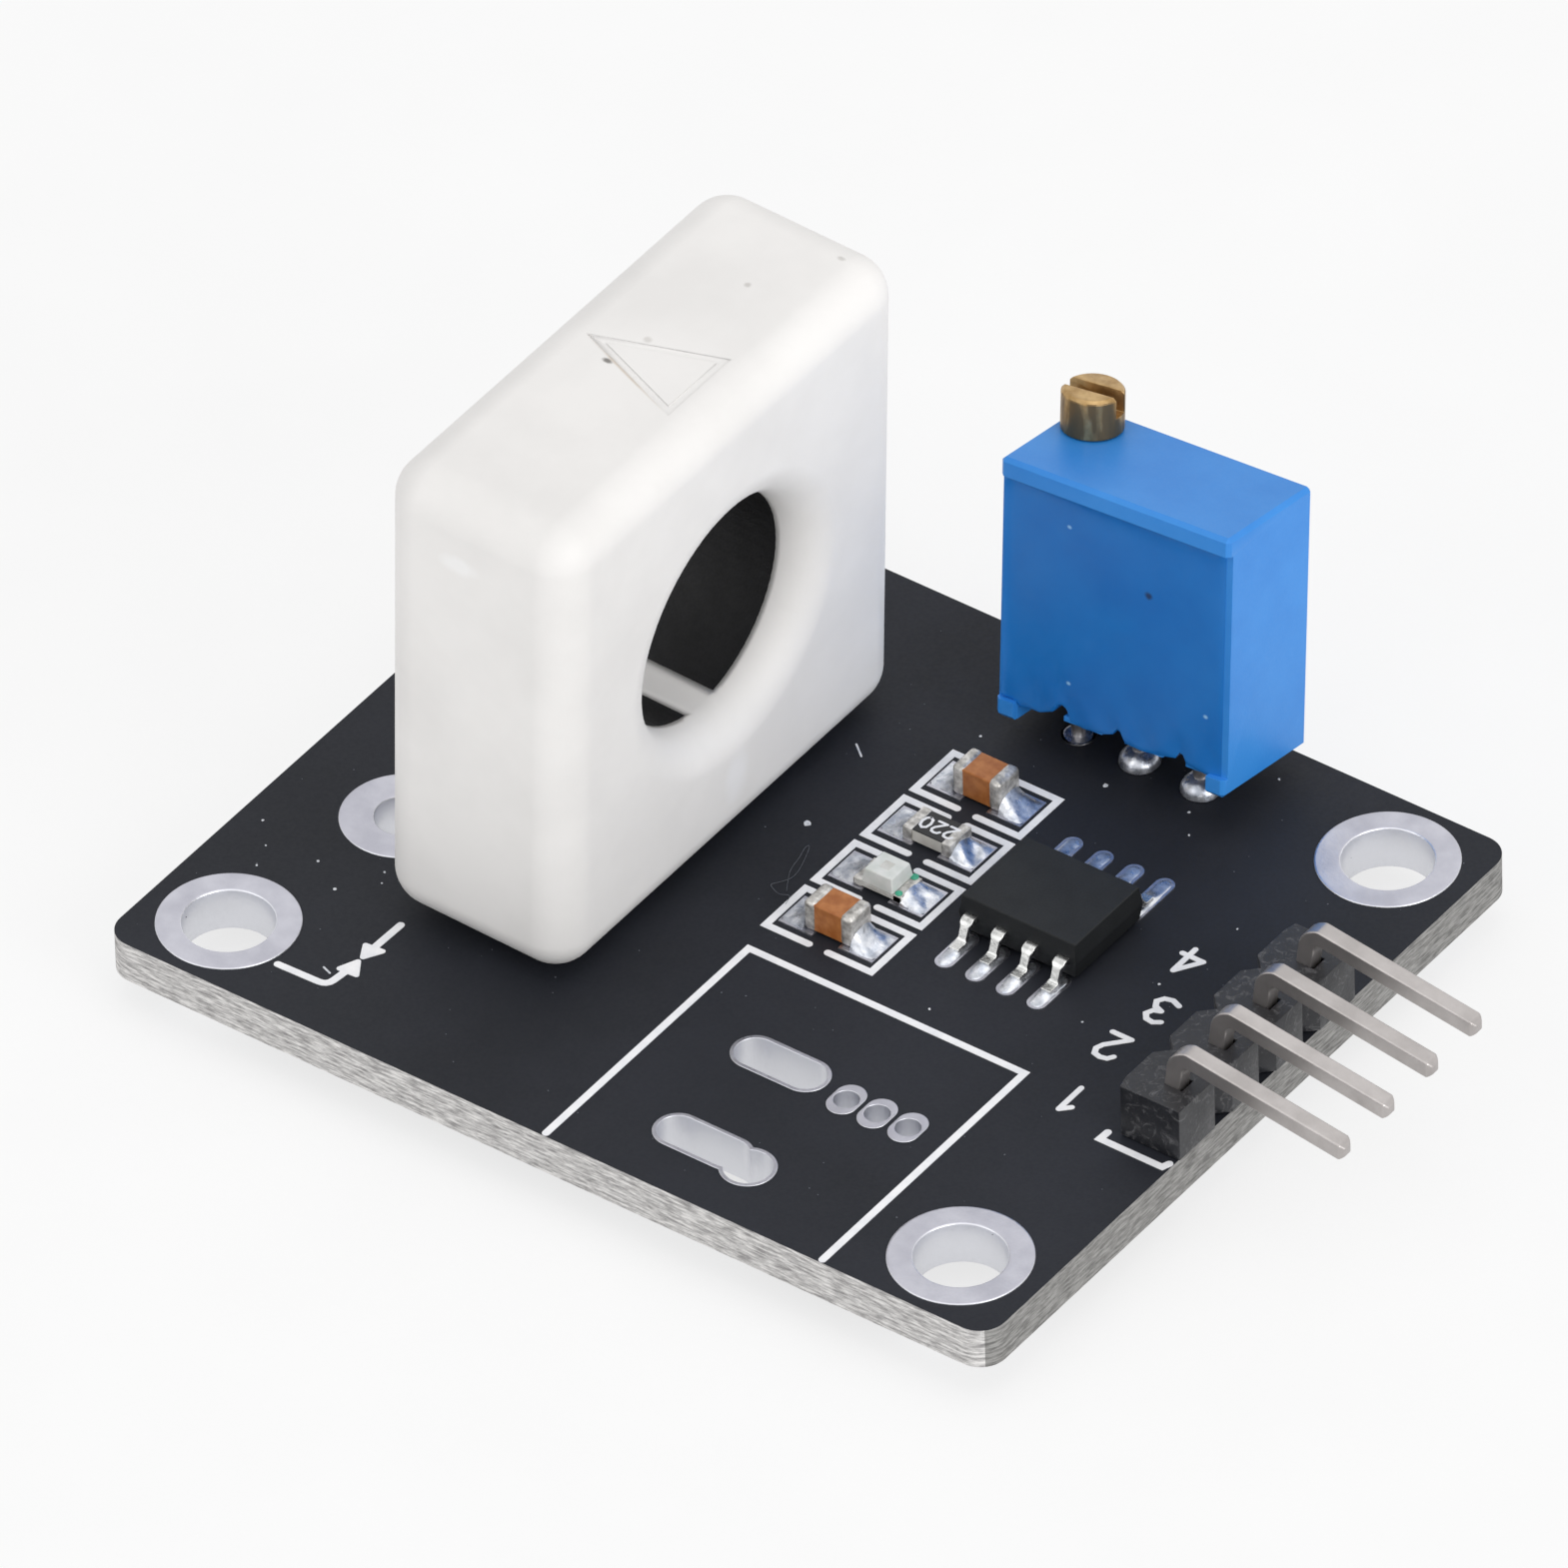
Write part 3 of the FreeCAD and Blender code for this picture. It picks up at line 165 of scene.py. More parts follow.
bpy.context.scene.view_settings.view_transform = "Standard"
world = bpy.data.worlds.new("studio")
bpy.context.scene.world = world
world.use_nodes = True
sky = world.node_tree
sky.nodes.clear()
white = add(sky, "Background", {"Color": WHITE, "Strength": 1.0})
fill = add(sky, "Background", {"Color": WHITE, "Strength": AMBIENT})
either = add(sky, "MixShader", {0: seen_directly(sky), 1: fill, 2: white})
add(sky, "OutputWorld", {"Surface": either})
for name, (place, width, power) in LAMPS.items():
    lamp = bpy.data.lights.new(name, "AREA")
    lamp.size = width
    lamp.energy = power
    holder = put(name, lamp)
    holder.location = place
    holder.rotation_euler = (-Vector(place)).to_track_quat("-Z", "Y").to_euler()
print("lamps:", ", ".join(LAMPS))

# %% [markdown]
# ## How the materials are made
# Every finish is one Principled shader with a pattern in its colour, its roughness and its bump, and
# only the floor's paper also glows. The patterns read Object coordinates, which are metres in the
# part's own frame, so a grain of 0.2 mm is a noise scale of 1000 / 0.2. One recipe serves them all: a
# coarse noise moves the colour between two neighbours, and a fine noise gives the grain.

# %% A recipe for a grained surface
PATCH_CONTRAST, GRAIN_CONTRAST = (0.35, 0.65), (0.3, 0.7)
ROUGHNESS_SPREAD = 0.06
RELIEF_SHARE = 0.3


def grained(name, dark, light, patch_mm, grain_mm, bump, roughness, **sockets):
    """Colour runs from dark to light over patches, and a finer grain moves the roughness and the bump."""
    made = bpy.data.materials.new(name)
    made.use_nodes = True
    tree = made.node_tree
    shader = tree.nodes["Principled BSDF"]
    place = add(tree, "TexCoord").outputs["Object"]
    patches = add(tree, "TexNoise", {"Vector": place, "Scale": 1000 / patch_mm, "Detail": 4.0,
                                     "Roughness": 0.55})
    share = add(tree, "MapRange", {"Value": patches, "From Min": PATCH_CONTRAST[0],
                                   "From Max": PATCH_CONTRAST[1]})
    colour = add(tree, "Mix", {"Factor": share, "A": linear(dark), "B": linear(light)}, data_type="RGBA")
    grain = add(tree, "TexNoise", {"Vector": place, "Scale": 1000 / grain_mm, "Detail": 3.0})
    rough = add(tree, "MapRange", {"Value": grain, "From Min": GRAIN_CONTRAST[0],
                                   "From Max": GRAIN_CONTRAST[1],
                                   "To Min": roughness - ROUGHNESS_SPREAD,
                                   "To Max": roughness + ROUGHNESS_SPREAD})
    relief = add(tree, "Bump", {"Height": grain, "Strength": bump, "Distance": grain_mm * MM * RELIEF_SHARE})
    for socket, source in (("Base Color", colour.outputs["Result"]), ("Roughness", rough.outputs[0]),
                           ("Normal", relief.outputs[0])):
        tree.links.new(source, shader.inputs[socket])
    for socket, value in sockets.items():
        shader.inputs[socket.replace("_", " ")].default_value = value
    return made


def mix_in(made, mask, colour, roughness=None):
    """Where a mask is 1, lay a colour over a material's own, and a roughness too if one is given."""
    tree = made.node_tree
    shader = tree.nodes["Principled BSDF"]
    over = linear(colour) if isinstance(colour, str) else colour
    for socket, value, kind in (("Base Color", over, "RGBA"), ("Roughness", roughness, "FLOAT")):
        if value is not None:
            below = shader.inputs[socket].links[0].from_socket
            layer = add(tree, "Mix", {"Factor": mask, "A": below, "B": value}, data_type=kind)
            tree.links.new(layer.outputs["Result"], shader.inputs[socket])


floor_paper = grained("white_paper", "#f1f1f1", "#f6f6f6", 8, 0.5, 0.05, 0.8)
tree = floor_paper.node_tree
share = add(tree, "Math", {0: seen_directly(tree), 1: FLOOR_GLOW}, operation="MULTIPLY")
glow = add(tree, "Emission", {"Color": WHITE, "Strength": 1.0})
paper = add(tree, "MixShader", {0: share, 1: tree.nodes["Principled BSDF"], 2: glow})
from_below = add(tree, "NewGeometry").outputs["Backfacing"]
clear = add(tree, "BsdfTransparent")
sheet = add(tree, "MixShader", {0: from_below, 1: paper, 2: clear})
tree.links.new(sheet.outputs[0], tree.nodes["Material Output"].inputs["Surface"])
corners = [(x * FLOOR_HALF, y * FLOOR_HALF, FLOOR_Z) for x, y in ((-1, -1), (1, -1), (1, 1), (-1, 1))]
floor_mesh = bpy.data.meshes.new("floor")
floor_mesh.from_pydata(corners, [], [(0, 1, 2, 3)])
floor = put("floor", floor_mesh)
floor.data.materials.append(floor_paper)
print("floor: %.1f m wide" % (2 * FLOOR_HALF))

# %% [markdown]
# ## The finishes
# Each finish is named for the real material. A black solder mask is a thin matt lacquer over glass
# fibre; the sawn edge of the board shows the bare fibre, in layers about 0.1 mm thick, and is darker
# on the sides where the weft was cut. Tin and solder are metals, so their colour is in their
# reflection. The walls of plated holes are told by their upright stand, and get a painted reflection
# that makes them a little lighter.

# %% Board and metal finishes
EDGE_LIMIT, WALL_LIMIT, WEFT_LIMIT = 0.5, 0.9, 0.7
WEFT_DARKENING = 0.62
LAYER_STRETCH = (1.0, 1.0, 8.0)


def facing(tree, axis):
    """How squarely a surface faces along an axis: the size of its normal's part on that axis."""
    normal = add(tree, "TexCoord").outputs["Normal"]
    parts = add(tree, "SeparateXYZ", {"Vector": normal})
    return add(tree, "Math", {0: parts.outputs[axis]}, operation="ABSOLUTE")


solder_mask = grained("black_solder_mask_on_glass_fibre", "#212329", "#272930", 6, 0.15, 0.12, 0.55,
                      Specular_IOR_Level=0.2)
tree = solder_mask.node_tree
edge = add(tree, "Math", {0: facing(tree, "Z"), 1: EDGE_LIMIT}, operation="LESS_THAN")
place = add(tree, "TexCoord").outputs["Object"]
layers = add(tree, "Mapping", {"Vector": place, "Scale": LAYER_STRETCH})
fibre = add(tree, "TexNoise", {"Vector": layers, "Scale": 1000 / 0.8, "Detail": 5.0, "Roughness": 0.7})
fibre_share = add(tree, "MapRange", {"Value": fibre, "From Min": 0.38, "From Max": 0.62})
cut_fibre = add(tree, "Mix", {"Factor": fibre_share, "A": linear("#929090"), "B": linear("#eeecea")},
                data_type="RGBA")
weft_side = add(tree, "Math", {0: facing(tree, "X"), 1: WEFT_LIMIT}, operation="GREATER_THAN")
weft_share = add(tree, "Math", {0: weft_side, 1: WEFT_DARKENING}, operation="MULTIPLY")
weft_fibre = add(tree, "Mix", {"Factor": weft_share, "A": cut_fibre.outputs["Result"],
                               "B": linear("#4d4e4a")}, data_type="RGBA")
mix_in(solder_mask, edge, weft_fibre.outputs["Result"], 0.8)

tinned_copper = grained("hot_tinned_copper", "#b7b7c1", "#c8c8d1", 1.2, 0.12, 0.2, 0.34, Metallic=1.0)
tree = tinned_copper.node_tree
# Upright walls of the plated holes get a painted reflection that makes them lighter.
painted_light_wall = add(tree, "Math", {0: facing(tree, "Z"), 1: WALL_LIMIT}, operation="LESS_THAN")
mix_in(tinned_copper, painted_light_wall, "#e1e2e7")
bright_tin = grained("tin_plated_sheet", "#c2c3c2", "#e0e0de", 0.35, 0.12, 0.3, 0.28, Metallic=1.0)
rough_tin = grained("fired_tin_cap", "#a09d98", "#e9e6e1", 0.28, 0.12, 0.6, 0.36, Metallic=0.65)

# %% [markdown]
# The screw's head is turned brass. Its flats are a plain warm brass, and its side, told by its
# distance from the screw's axis, is painted dark as painted shade, with a few lighter streaks left in
# it as painted highlights. The streaks are a noise drawn out upright in the screw's own coordinates,
# so they turn with it.

# %% Turned brass with painted shade and highlights on its sides
SCREW_FOOT, SCREW_LINE = (1.8501, 13.5586, 2.1395), (-0.0756, 0.1685, 0.9828)
HEAD_RADIUS = 1.1
turned_brass = grained("turned_brass", "#a48456", "#c9aa7a", 0.5, 0.08, 0.25, 0.34, Metallic=0.9)
tree = turned_brass.node_tree
place = add(tree, "TexCoord").outputs["Object"]
away = add(tree, "VectorMath", {0: place, 1: [c * MM for c in SCREW_FOOT]}, operation="SUBTRACT")
swept = add(tree, "VectorMath", {0: away, 1: SCREW_LINE}, operation="CROSS_PRODUCT")
reach = add(tree, "VectorMath", {0: swept}, operation="LENGTH").outputs["Value"]
outer = add(tree, "Math", {0: reach, 1: (HEAD_RADIUS - 0.03) * MM}, operation="GREATER_THAN")
drawn = add(tree, "Mapping", {"Vector": place, "Scale": (1.0, 1.0, 0.12)})
streaks = add(tree, "TexNoise", {"Vector": drawn, "Scale": 1000 / 0.42, "Detail": 2.0})
dark = add(tree, "MapRange", {"Value": streaks, "From Min": 0.62, "From Max": 0.48})
painted_side_shade = add(tree, "Math", {0: outer, 1: dark}, operation="MULTIPLY")
# Painted shade on the head's side, with lighter streaks left as painted highlights.
mix_in(turned_brass, painted_side_shade, "#7c6648", 0.42)
print("brass head: %.1f mm across" % (2 * HEAD_RADIUS))

# %% [markdown]
# Small marks are part of the look: a long line, a dark speck in a groove, a bubble in the resin, and
# light patches that are painted highlights. Each is a soft ball of colour round one point of the
# surface, and a noise frays its rim.

# %% Small marks on a surface
BLOT_EDGE = 0.6


def blot(made, centre_mm, radii_mm, code, strength=1.0, fray=0.5, turn=0.0):
    """Colour where the distance from a point, in radii, is under 1. A noise moves that distance, and a
    turn in degrees about the upright axis lays a long mark along a slanting line."""
    tree = made.node_tree
    place = add(tree, "TexCoord").outputs["Object"]
    away = add(tree, "VectorMath", {0: place, 1: [c * MM for c in centre_mm]}, operation="SUBTRACT")
    turned = add(tree, "VectorRotate", {"Vector": away, "Angle": math.radians(turn)}, rotation_type="Z_AXIS")
    scaled = add(tree, "VectorMath", {0: turned, 1: [1 / (r * MM) for r in radii_mm]}, operation="MULTIPLY")
    reach = add(tree, "VectorMath", {0: scaled}, operation="LENGTH").outputs["Value"]
    ragged = add(tree, "TexNoise", {"Vector": place, "Scale": 1400 / max(radii_mm), "Detail": 2.0})
    moved = add(tree, "Math", {0: ragged, 1: fray, 2: reach}, operation="MULTIPLY_ADD")
    rim = 1.0 + fray / 2
    mask = add(tree, "MapRange", {"Value": moved, "From Min": rim, "From Max": rim - BLOT_EDGE,
                                  "To Max": strength})
    mix_in(made, mask, code)


# %% [markdown]
# The white block is moulded polyester with a soft sheen. Its marks are two light patches that are
# painted highlights, crumbs in the arrow's groove and a long darker line along the groove's left side.
# The trimmer's front is poured resin with one dark bubble and three light specks. Header nylon is
# scuffed grey where boxes rubbed it.

# %% Plastic, ceramic and rubber finishes
BLOCK_MARKS = (
    # The first two marks, two white patches, are painted highlights.
    ((-7.3, -9.15, 18.7), (0.9, 0.5, 0.45), "#ffffff", 0.6),
    ((-3.35, 0.6, 4.7), (0.6, 0.75, 1.3), "#fbfbfd", 0.5),
    ((-7.6, -0.22, 21.3), (0.26, 0.14, 0.4), "#5b554f", 0.8),
    ((-7.15, 1.45, 21.36), (0.2, 0.2, 0.3), "#c9c5c0", 0.5),
    ((-6.13, 5.73, 21.3), (0.16, 0.16, 0.3), "#bdb9b4", 0.6),
    ((-4.4, 8.7, 21.2), (0.2, 0.14, 0.3), "#c4c0bb", 0.6),
    # A long darker line along the groove's left side.
    ((-6.75, -0.36, 21.3), (2.2, 0.09, 0.4), "#cdbda8", 0.6, 0.9, 20.8),
)
RESIN_SPECKS = ((2.707, 11.67, 10.84), (3.264, 10.66, 4.94), (8.88, 10.77, 6.03))
white_plastic = grained("moulded_white_polyester", "#efedeb", "#f6f4f2", 5, 0.12, 0.08, 0.45,
                        Specular_IOR_Level=0.2)
for mark in BLOCK_MARKS:
    blot(white_plastic, *mark)
blue_resin = grained("poured_blue_epoxy", "#136fc2", "#1977c9", 2.5, 0.25, 0.03, 0.34)
blot(blue_resin, (6.134, 11.42, 9.6), (0.2, 0.3, 0.17), "#1c2f55", 0.9)
for centre in RESIN_SPECKS:
    blot(blue_resin, centre, (0.12, 0.2, 0.09), "#9ccdf4", 0.9, fray=0.2)
black_nylon = grained("moulded_black_nylon", "#17181c", "#212227", 1.0, 0.1, 0.2, 0.42)
tree = black_nylon.node_tree
place = add(tree, "TexCoord").outputs["Object"]
scuffs = add(tree, "TexNoise", {"Vector": place, "Scale": 1000 / 0.45, "Detail": 5.0, "Roughness": 0.75,
                                "Distortion": 1.2})
scuffed = add(tree, "MapRange", {"Value": scuffs, "From Min": 0.53, "From Max": 0.7, "To Max": 0.6})
mix_in(black_nylon, scuffed, "#7d7c7e", 0.8)
green_ink = grained("green_marking_ink", "#2f9f7c", "#58c3a0", 0.2, 0.05, 0.2, 0.5)
print_ink = grained("white_screen_print_ink", "#f2f3f7", "#fdfdff", 0.5, 0.1, 0.3, 0.65)
dust = grained("settled_dust", "#c3c8d0", "#eef0f4", 0.2, 0.05, 0.2, 0.85)
faint_dust = grained("fine_grey_dust", "#54575e", "#72767e", 0.2, 0.05, 0.2, 0.85)

# %% [markdown]
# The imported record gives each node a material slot, and each slot has one finish here: solder and tin
# shine, ferrite, moulded epoxy and fired ceramics are dull, and glazes and cast resin are smoother.
# Only leads and end caps differ within a slot: the amplifier's leads are bright, and fired caps rough.

# %% A finish for every node
SLOTS = {row["node"]: row["material_slot"] for row in frame["record"]["subparts"]}
SLOT_FINISH = {
    "glass_fibre_board_black_mask": solder_mask, "tinned_copper": tinned_copper, "turned_brass": turned_brass,
    "white_moulded_plastic": white_plastic, "blue_epoxy_resin": blue_resin, "black_nylon": black_nylon,
    "solder": grained("reflowed_solder", "#b2b8c3", "#eaecf1", 0.35, 0.25, 0.3, 0.3, Metallic=0.9),
    "tinned_lead": grained("tin_plated_lead", "#aea9a7", "#bfbab8", 1.4, 0.08, 0.12, 0.36, Metallic=0.9),
    "spring_bronze": grained("rolled_spring_bronze", "#a9743c", "#c08a4e", 1, 0.05, 0.1, 0.35, Metallic=1),
    "silver_ink": grained("fired_silver_film", "#a9a69f", "#c6c3bb", 0.4, 0.05, 0.2, 0.4, Metallic=1.0),
    "ferrite": grained("sintered_ferrite", "#0e0e10", "#161618", 0.7, 0.1, 0.3, 0.5, Specular_IOR_Level=0.3),
    "black_epoxy_mould": grained("moulded_black_epoxy", "#191b1d", "#1f2123", 1.2, 0.06, 0.15, 0.55,
                                 Specular_IOR_Level=0.3),
    "blue_moulded_plastic": grained("moulded_blue_polyester", "#2b87dd", "#3690e4", 3, 0.1, 0.1, 0.38),
    "clear_resin_lens": grained("clear_moulded_resin", "#e9eee9", "#f8faf7", 0.5, 0.1, 0.2, 0.2,
                                Transmission_Weight=0.12),
    "white_laminate": grained("white_glass_laminate", "#c9c9c2", "#dededa", 0.4, 0.08, 0.2, 0.5),
    "capacitor_ceramic": grained("fired_capacitor_ceramic", "#a35f2c", "#bd7a43", 0.4, 0.05, 0.2, 0.42),
    "resistor_glaze": grained("black_resistor_glaze", "#101113", "#191a1d", 0.4, 0.06, 0.15, 0.35),
    "alumina": grained("fired_alumina", "#cfccc4", "#e2dfd8", 0.5, 0.05, 0.15, 0.6),
    "resistive_ink": grained("fired_resistive_film", "#1b1918", "#282523", 0.4, 0.05, 0.2, 0.6),
    "white_nylon": grained("moulded_natural_nylon", "#d8d5c8", "#e4e1d6", 1.0, 0.1, 0.1, 0.45),
    "silicone_rubber": grained("moulded_silicone", "#6d2a20", "#7d3428", 0.8, 0.08, 0.2, 0.6),
}
NODE_FINISH = {"amplifier_leads": bright_tin}
for part in ("capacitor_near", "capacitor_far", "resistor", "indicator"):
    NODE_FINISH[part + "_terminals"] = rough_tin
for name, node in frame["nodes"].items():
    node.data.materials.clear()
    node.data.materials.append(NODE_FINISH.get(name, SLOT_FINISH[SLOTS[name]]))
print("finished nodes:", len(SLOTS))

# %% [markdown]
# ## Smooth copies of the rounded nodes
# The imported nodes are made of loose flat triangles, so a rounded block would show its facets. A copy
# with its doubled points merged can share normals across each soft edge and keep its sharp ones. The
# copy then stands for the node. A few copies are also reshaped, point by point, as the real parts
# are: the arrow on the block is shallow, the header's ends are square, and its pins lean outwards.

# %% Merge, reshape and smooth a copy of a node
MERGE_DISTANCE = 1e-7
SOFT_ANGLE = 32.0


def wear(piece, width_mm, angle=SOFT_ANGLE):
    """Round every edge that is sharper than an angle, as handling does."""
    worn = piece.modifiers.new("worn_edges", "BEVEL")
    worn.width, worn.segments, worn.limit_method = width_mm * MM, 2, "ANGLE"
    worn.angle_limit, worn.harden_normals = math.radians(angle), True


def shade(piece, angle, even=True):
    """Smooth normals across edges below an angle, weighted by the size of the faces if asked."""
    piece.data.shade_smooth()
    piece.data.set_sharp_from_angle(angle=math.radians(angle))
    if even:
        piece.modifiers.new("even_shading", "WEIGHTED_NORMAL").keep_sharp = True


def smooth_copy(node, bevel_mm=0.0, joined=True, shape=None):
    """Copy a node's mesh and reshape its points. Merge equal points, join triangles that lie in one
    plane, and smooth what is below the soft angle."""
    source = frame["nodes"][node]
    mesh = source.data.copy()
    if shape:
        at = np.empty(len(mesh.vertices) * 3, dtype=np.float32)
        mesh.vertices.foreach_get("co", at)
        at = shape(at.reshape(-1, 3).astype(float) / MM) * MM
        mesh.vertices.foreach_set("co", at.astype(np.float32).ravel())
    shell = bmesh.new()
    shell.from_mesh(mesh)
    bmesh.ops.remove_doubles(shell, verts=shell.verts, dist=MERGE_DISTANCE)
    if bevel_mm and joined:
        bmesh.ops.dissolve_limit(shell, angle_limit=math.radians(0.5), verts=shell.verts, edges=shell.edges)
    shell.to_mesh(mesh)
    shell.free()
    piece = put(node + "_smooth", mesh)
    shade(piece, SOFT_ANGLE, even=not bevel_mm)
    if bevel_mm:
        wear(piece, bevel_mm)
    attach(piece, source["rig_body"])
    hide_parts(node)
    return piece


# %% The forms of the arrow and the header
BLOCK_UP = np.array([0.038388, 0.0, 0.999263])
ARROW_CENTRE, ARROW_HALF = (-6.65, 0.5), (2.45, 1.9)
GROOVE_LIMIT, GROOVE_FILL = 0.3, 0.6
HEADER_X, PIN_HALF = 16.75, 0.34
PIN_ROWS = [0.76 + (way - 1.5) * 2.54 for way in range(4)]
PIN_LEAN, PIN_RISE = 0.8, 0.45
BLOCK_SHIFT, BLOCK_DROP, BACK_INSET = 0.42, 0.32, 0.12


def shallow_arrow(at):
    """Inside a box round the arrow, a point just under the block's top rises by a share of its depth."""
    depth = (at @ BLOCK_UP).max() - at @ BLOCK_UP
    groove = (np.abs(at[:, :2] - ARROW_CENTRE) < ARROW_HALF).all(axis=1) & (depth < GROOVE_LIMIT)
    return at + np.outer(np.where(groove, depth * GROOVE_FILL, 0.0), BLOCK_UP)


def leaning_pins(at):
    """Above the board a pin moves outwards and up: fully at its bend, and less and less towards its tip."""
    bend = HEADER_X + PIN_HALF
    still = 1 - np.clip((at[:, 0] - bend) / (at[:, 0].max() - bend), 0, 1)
    above = at[:, 2] > BOARD_TOP
    return at + np.column_stack([above * PIN_LEAN * still ** 4, np.zeros(len(at)), above * PIN_RISE * still])


def square_ends(at):
    """End faces reach the full width, the top sinks a little, and the openings follow the leaning pins."""
    low, high = at.min(axis=0), at.max(axis=0)
    on_end = (at[:, 1] < low[1] + 0.01) | (at[:, 1] > high[1] - 0.01)
    sides = np.where(at[:, 0] < HEADER_X, low[0] + BACK_INSET, high[0])
    x = np.where(on_end, sides, at[:, 0])
    beside = np.min(np.abs(at[:, 1:2] - PIN_ROWS), axis=1) < PIN_HALF
    at_pin = (np.abs(x - HEADER_X) < PIN_HALF) & beside
    rise = (at[:, 2] - low[2]) / (high[2] - low[2])
    x = x + np.where(at_pin, BLOCK_SHIFT + (PIN_LEAN - BLOCK_SHIFT) * rise, BLOCK_SHIFT)
    return np.column_stack([x, at[:, 1], at[:, 2] - BLOCK_DROP * (at[:, 2] > (low[2] + high[2]) / 2)])


ROUNDED = {
    "ferrite_core": 0, "trimmer_leads": 0, "sensor_housing": 0, "header_pins": 0.06, "header_block": 0.06,
    "amplifier_body": 0.05, "adjusting_screw": 0.03, "resistor_terminals": 0.03, "resistor_coat": 0.015,
    "indicator_lens": 0.06, "indicator_terminals": 0.03, "indicator_base": 0.02,
}
SHAPES = {"sensor_housing": shallow_arrow, "header_block": square_ends, "header_pins": leaning_pins}
for node, width in ROUNDED.items():
    smooth_copy(node, width, shape=SHAPES.get(node))
for node in ("terminal_slot_linings", "signal_hole_pads"):
    smooth_copy(node, 0.022, joined=False)
print("smooth copies:", len(ROUNDED) + 2)

# %% [markdown]
# ## Surfaces from numbers
# New pieces are grids of points worked out with numpy, mostly of four kinds: two grids that close on
# each other like a cushion, a profile turned round an upright axis, a section carried along a path,
# and a ball pulled apart into a box. The helpers make each kind and put it into a mesh.

# %% Grids, lathe and sweep
def piece_from(name, points_mm, faces, slot, finish=None, smooth_angle=None, replaced=()):
    """Put worked-out points and faces into a mesh object. Its finish is the slot's unless one is given."""
    mesh = bpy.data.meshes.new(name)
    mesh.from_pydata((np.asarray(points_mm) * MM).tolist(), [], faces)
    mesh.materials.append(finish or SLOT_FINISH[slot])
    shell = bmesh.new()
    shell.from_mesh(mesh)
    bmesh.ops.remove_doubles(shell, verts=shell.verts, dist=MERGE_DISTANCE)
    bmesh.ops.recalc_face_normals(shell, faces=shell.faces)
    shell.to_mesh(mesh)
    shell.free()
    piece = put(name, mesh)
    if smooth_angle:
        shade(piece, smooth_angle)
    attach(piece, "module")
    if replaced:
        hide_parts(*replaced)
    return piece


def gather(blocks):
    """Several point and face blocks as one, with the face numbers moved on."""
    points, faces, first = [], [], 0
    for block, block_faces in blocks:
        points.append(block)
        faces += [[corner + first for corner in face] for face in block_faces]
        first += len(block)
    return np.vstack(points), faces


def quads(rows, columns, wrap_rows=False, wrap_columns=False):
    """Face numbers of a grid of points, closed on itself in either direction where asked."""
    index = np.arange(rows * columns).reshape(rows, columns)
    if wrap_rows:
        index = np.vstack([index, index[:1]])
    if wrap_columns:
        index = np.hstack([index, index[:, :1]])
    return np.stack([index[:-1, :-1], index[1:, :-1], index[1:, 1:], index[:-1, 1:]], -1).reshape(-1, 4)


def capped(rows, sides):
    """Faces of a row of closed sections, with one flat face on the first section and one on the last."""
    last = (rows - 1) * sides
    ends = [list(range(sides)), list(range(last + sides - 1, last - 1, -1))]
    return quads(rows, sides, wrap_columns=True).tolist() + ends


def unit(vectors):
    """Each row as a vector of length one."""
    return vectors / np.linalg.norm(vectors, axis=1, keepdims=True)


def left_of(vectors):
    """Each flat vector turned a quarter to the left."""
    return np.column_stack([-vectors[:, 1], vectors[:, 0]])


def closed_grids(front, back):
    """Two grids of the same shape, joined along their border."""
    rows, columns = front.shape[:2]
    face = quads(rows, columns)
    index = np.arange(rows * columns).reshape(rows, columns)
    border = np.concatenate([index[0, :], index[1:, -1], index[-1, -2::-1], index[-2:0:-1, 0]])
    after = np.roll(border, -1)
    count = rows * columns
    walls = np.column_stack([border, after, after + count, border + count])
    points = np.vstack([front.reshape(-1, 3), back.reshape(-1, 3)])
    return points, face.tolist() + (face[:, ::-1] + count).tolist() + walls.tolist()


def mound(x, y, top, base):
    """Heights over a grid, closed by a flat grid at the base."""
    return closed_grids(np.stack([x, y, top], -1), np.stack([x, y, np.full_like(x, base)], -1))


def arc(centre, radius, start, stop, count=9):
    """Points round a centre between two angles in degrees, at one radius or at one for each point."""
    angle = np.radians(np.linspace(start, stop, count))
    return np.column_stack([centre[0] + radius * np.cos(angle), centre[1] + radius * np.sin(angle)])


def lathe(profile, centre, sides=48, ring=False, wobble=0.0, seed=0):
    """Turn radius and height pairs round an upright axis. Two cosine waves may swell the radius."""
    rng = np.random.default_rng(seed)
    radius, height = np.asarray(profile, float).T
    angle = np.arange(sides) * 2 * math.pi / sides
    swell = 1 + wobble * (np.cos(2 * angle + rng.uniform(0, 6)) + np.cos(3 * angle + rng.uniform(0, 6))) / 2
    across = radius[:, None] * swell
    points = np.stack([centre[0] + across * np.cos(angle), centre[1] + across * np.sin(angle),
                       np.repeat(height[:, None], sides, 1)], -1).reshape(-1, 3)
    if ring:
        return points, quads(len(radius), sides, wrap_rows=True, wrap_columns=True).tolist()
    return points, capped(len(radius), sides)


def rounded_path(points, reach, count=5):
    """A broken line with bent corners: each is a curve that starts and ends a reach from the corner."""
    points = np.asarray(points, float)
    share = np.linspace(0, 1, count)[:, None]
    parts = [points[:1]]
    for before, corner, after in zip(points, points[1:], points[2:]):
        start = corner + (before - corner) * min(reach / np.linalg.norm(before - corner), 0.45)
        stop = corner + (after - corner) * min(reach / np.linalg.norm(after - corner), 0.45)
        parts.append((1 - share) ** 2 * start + 2 * share * (1 - share) * corner + share ** 2 * stop)
    return np.vstack(parts + [points[-1:]])


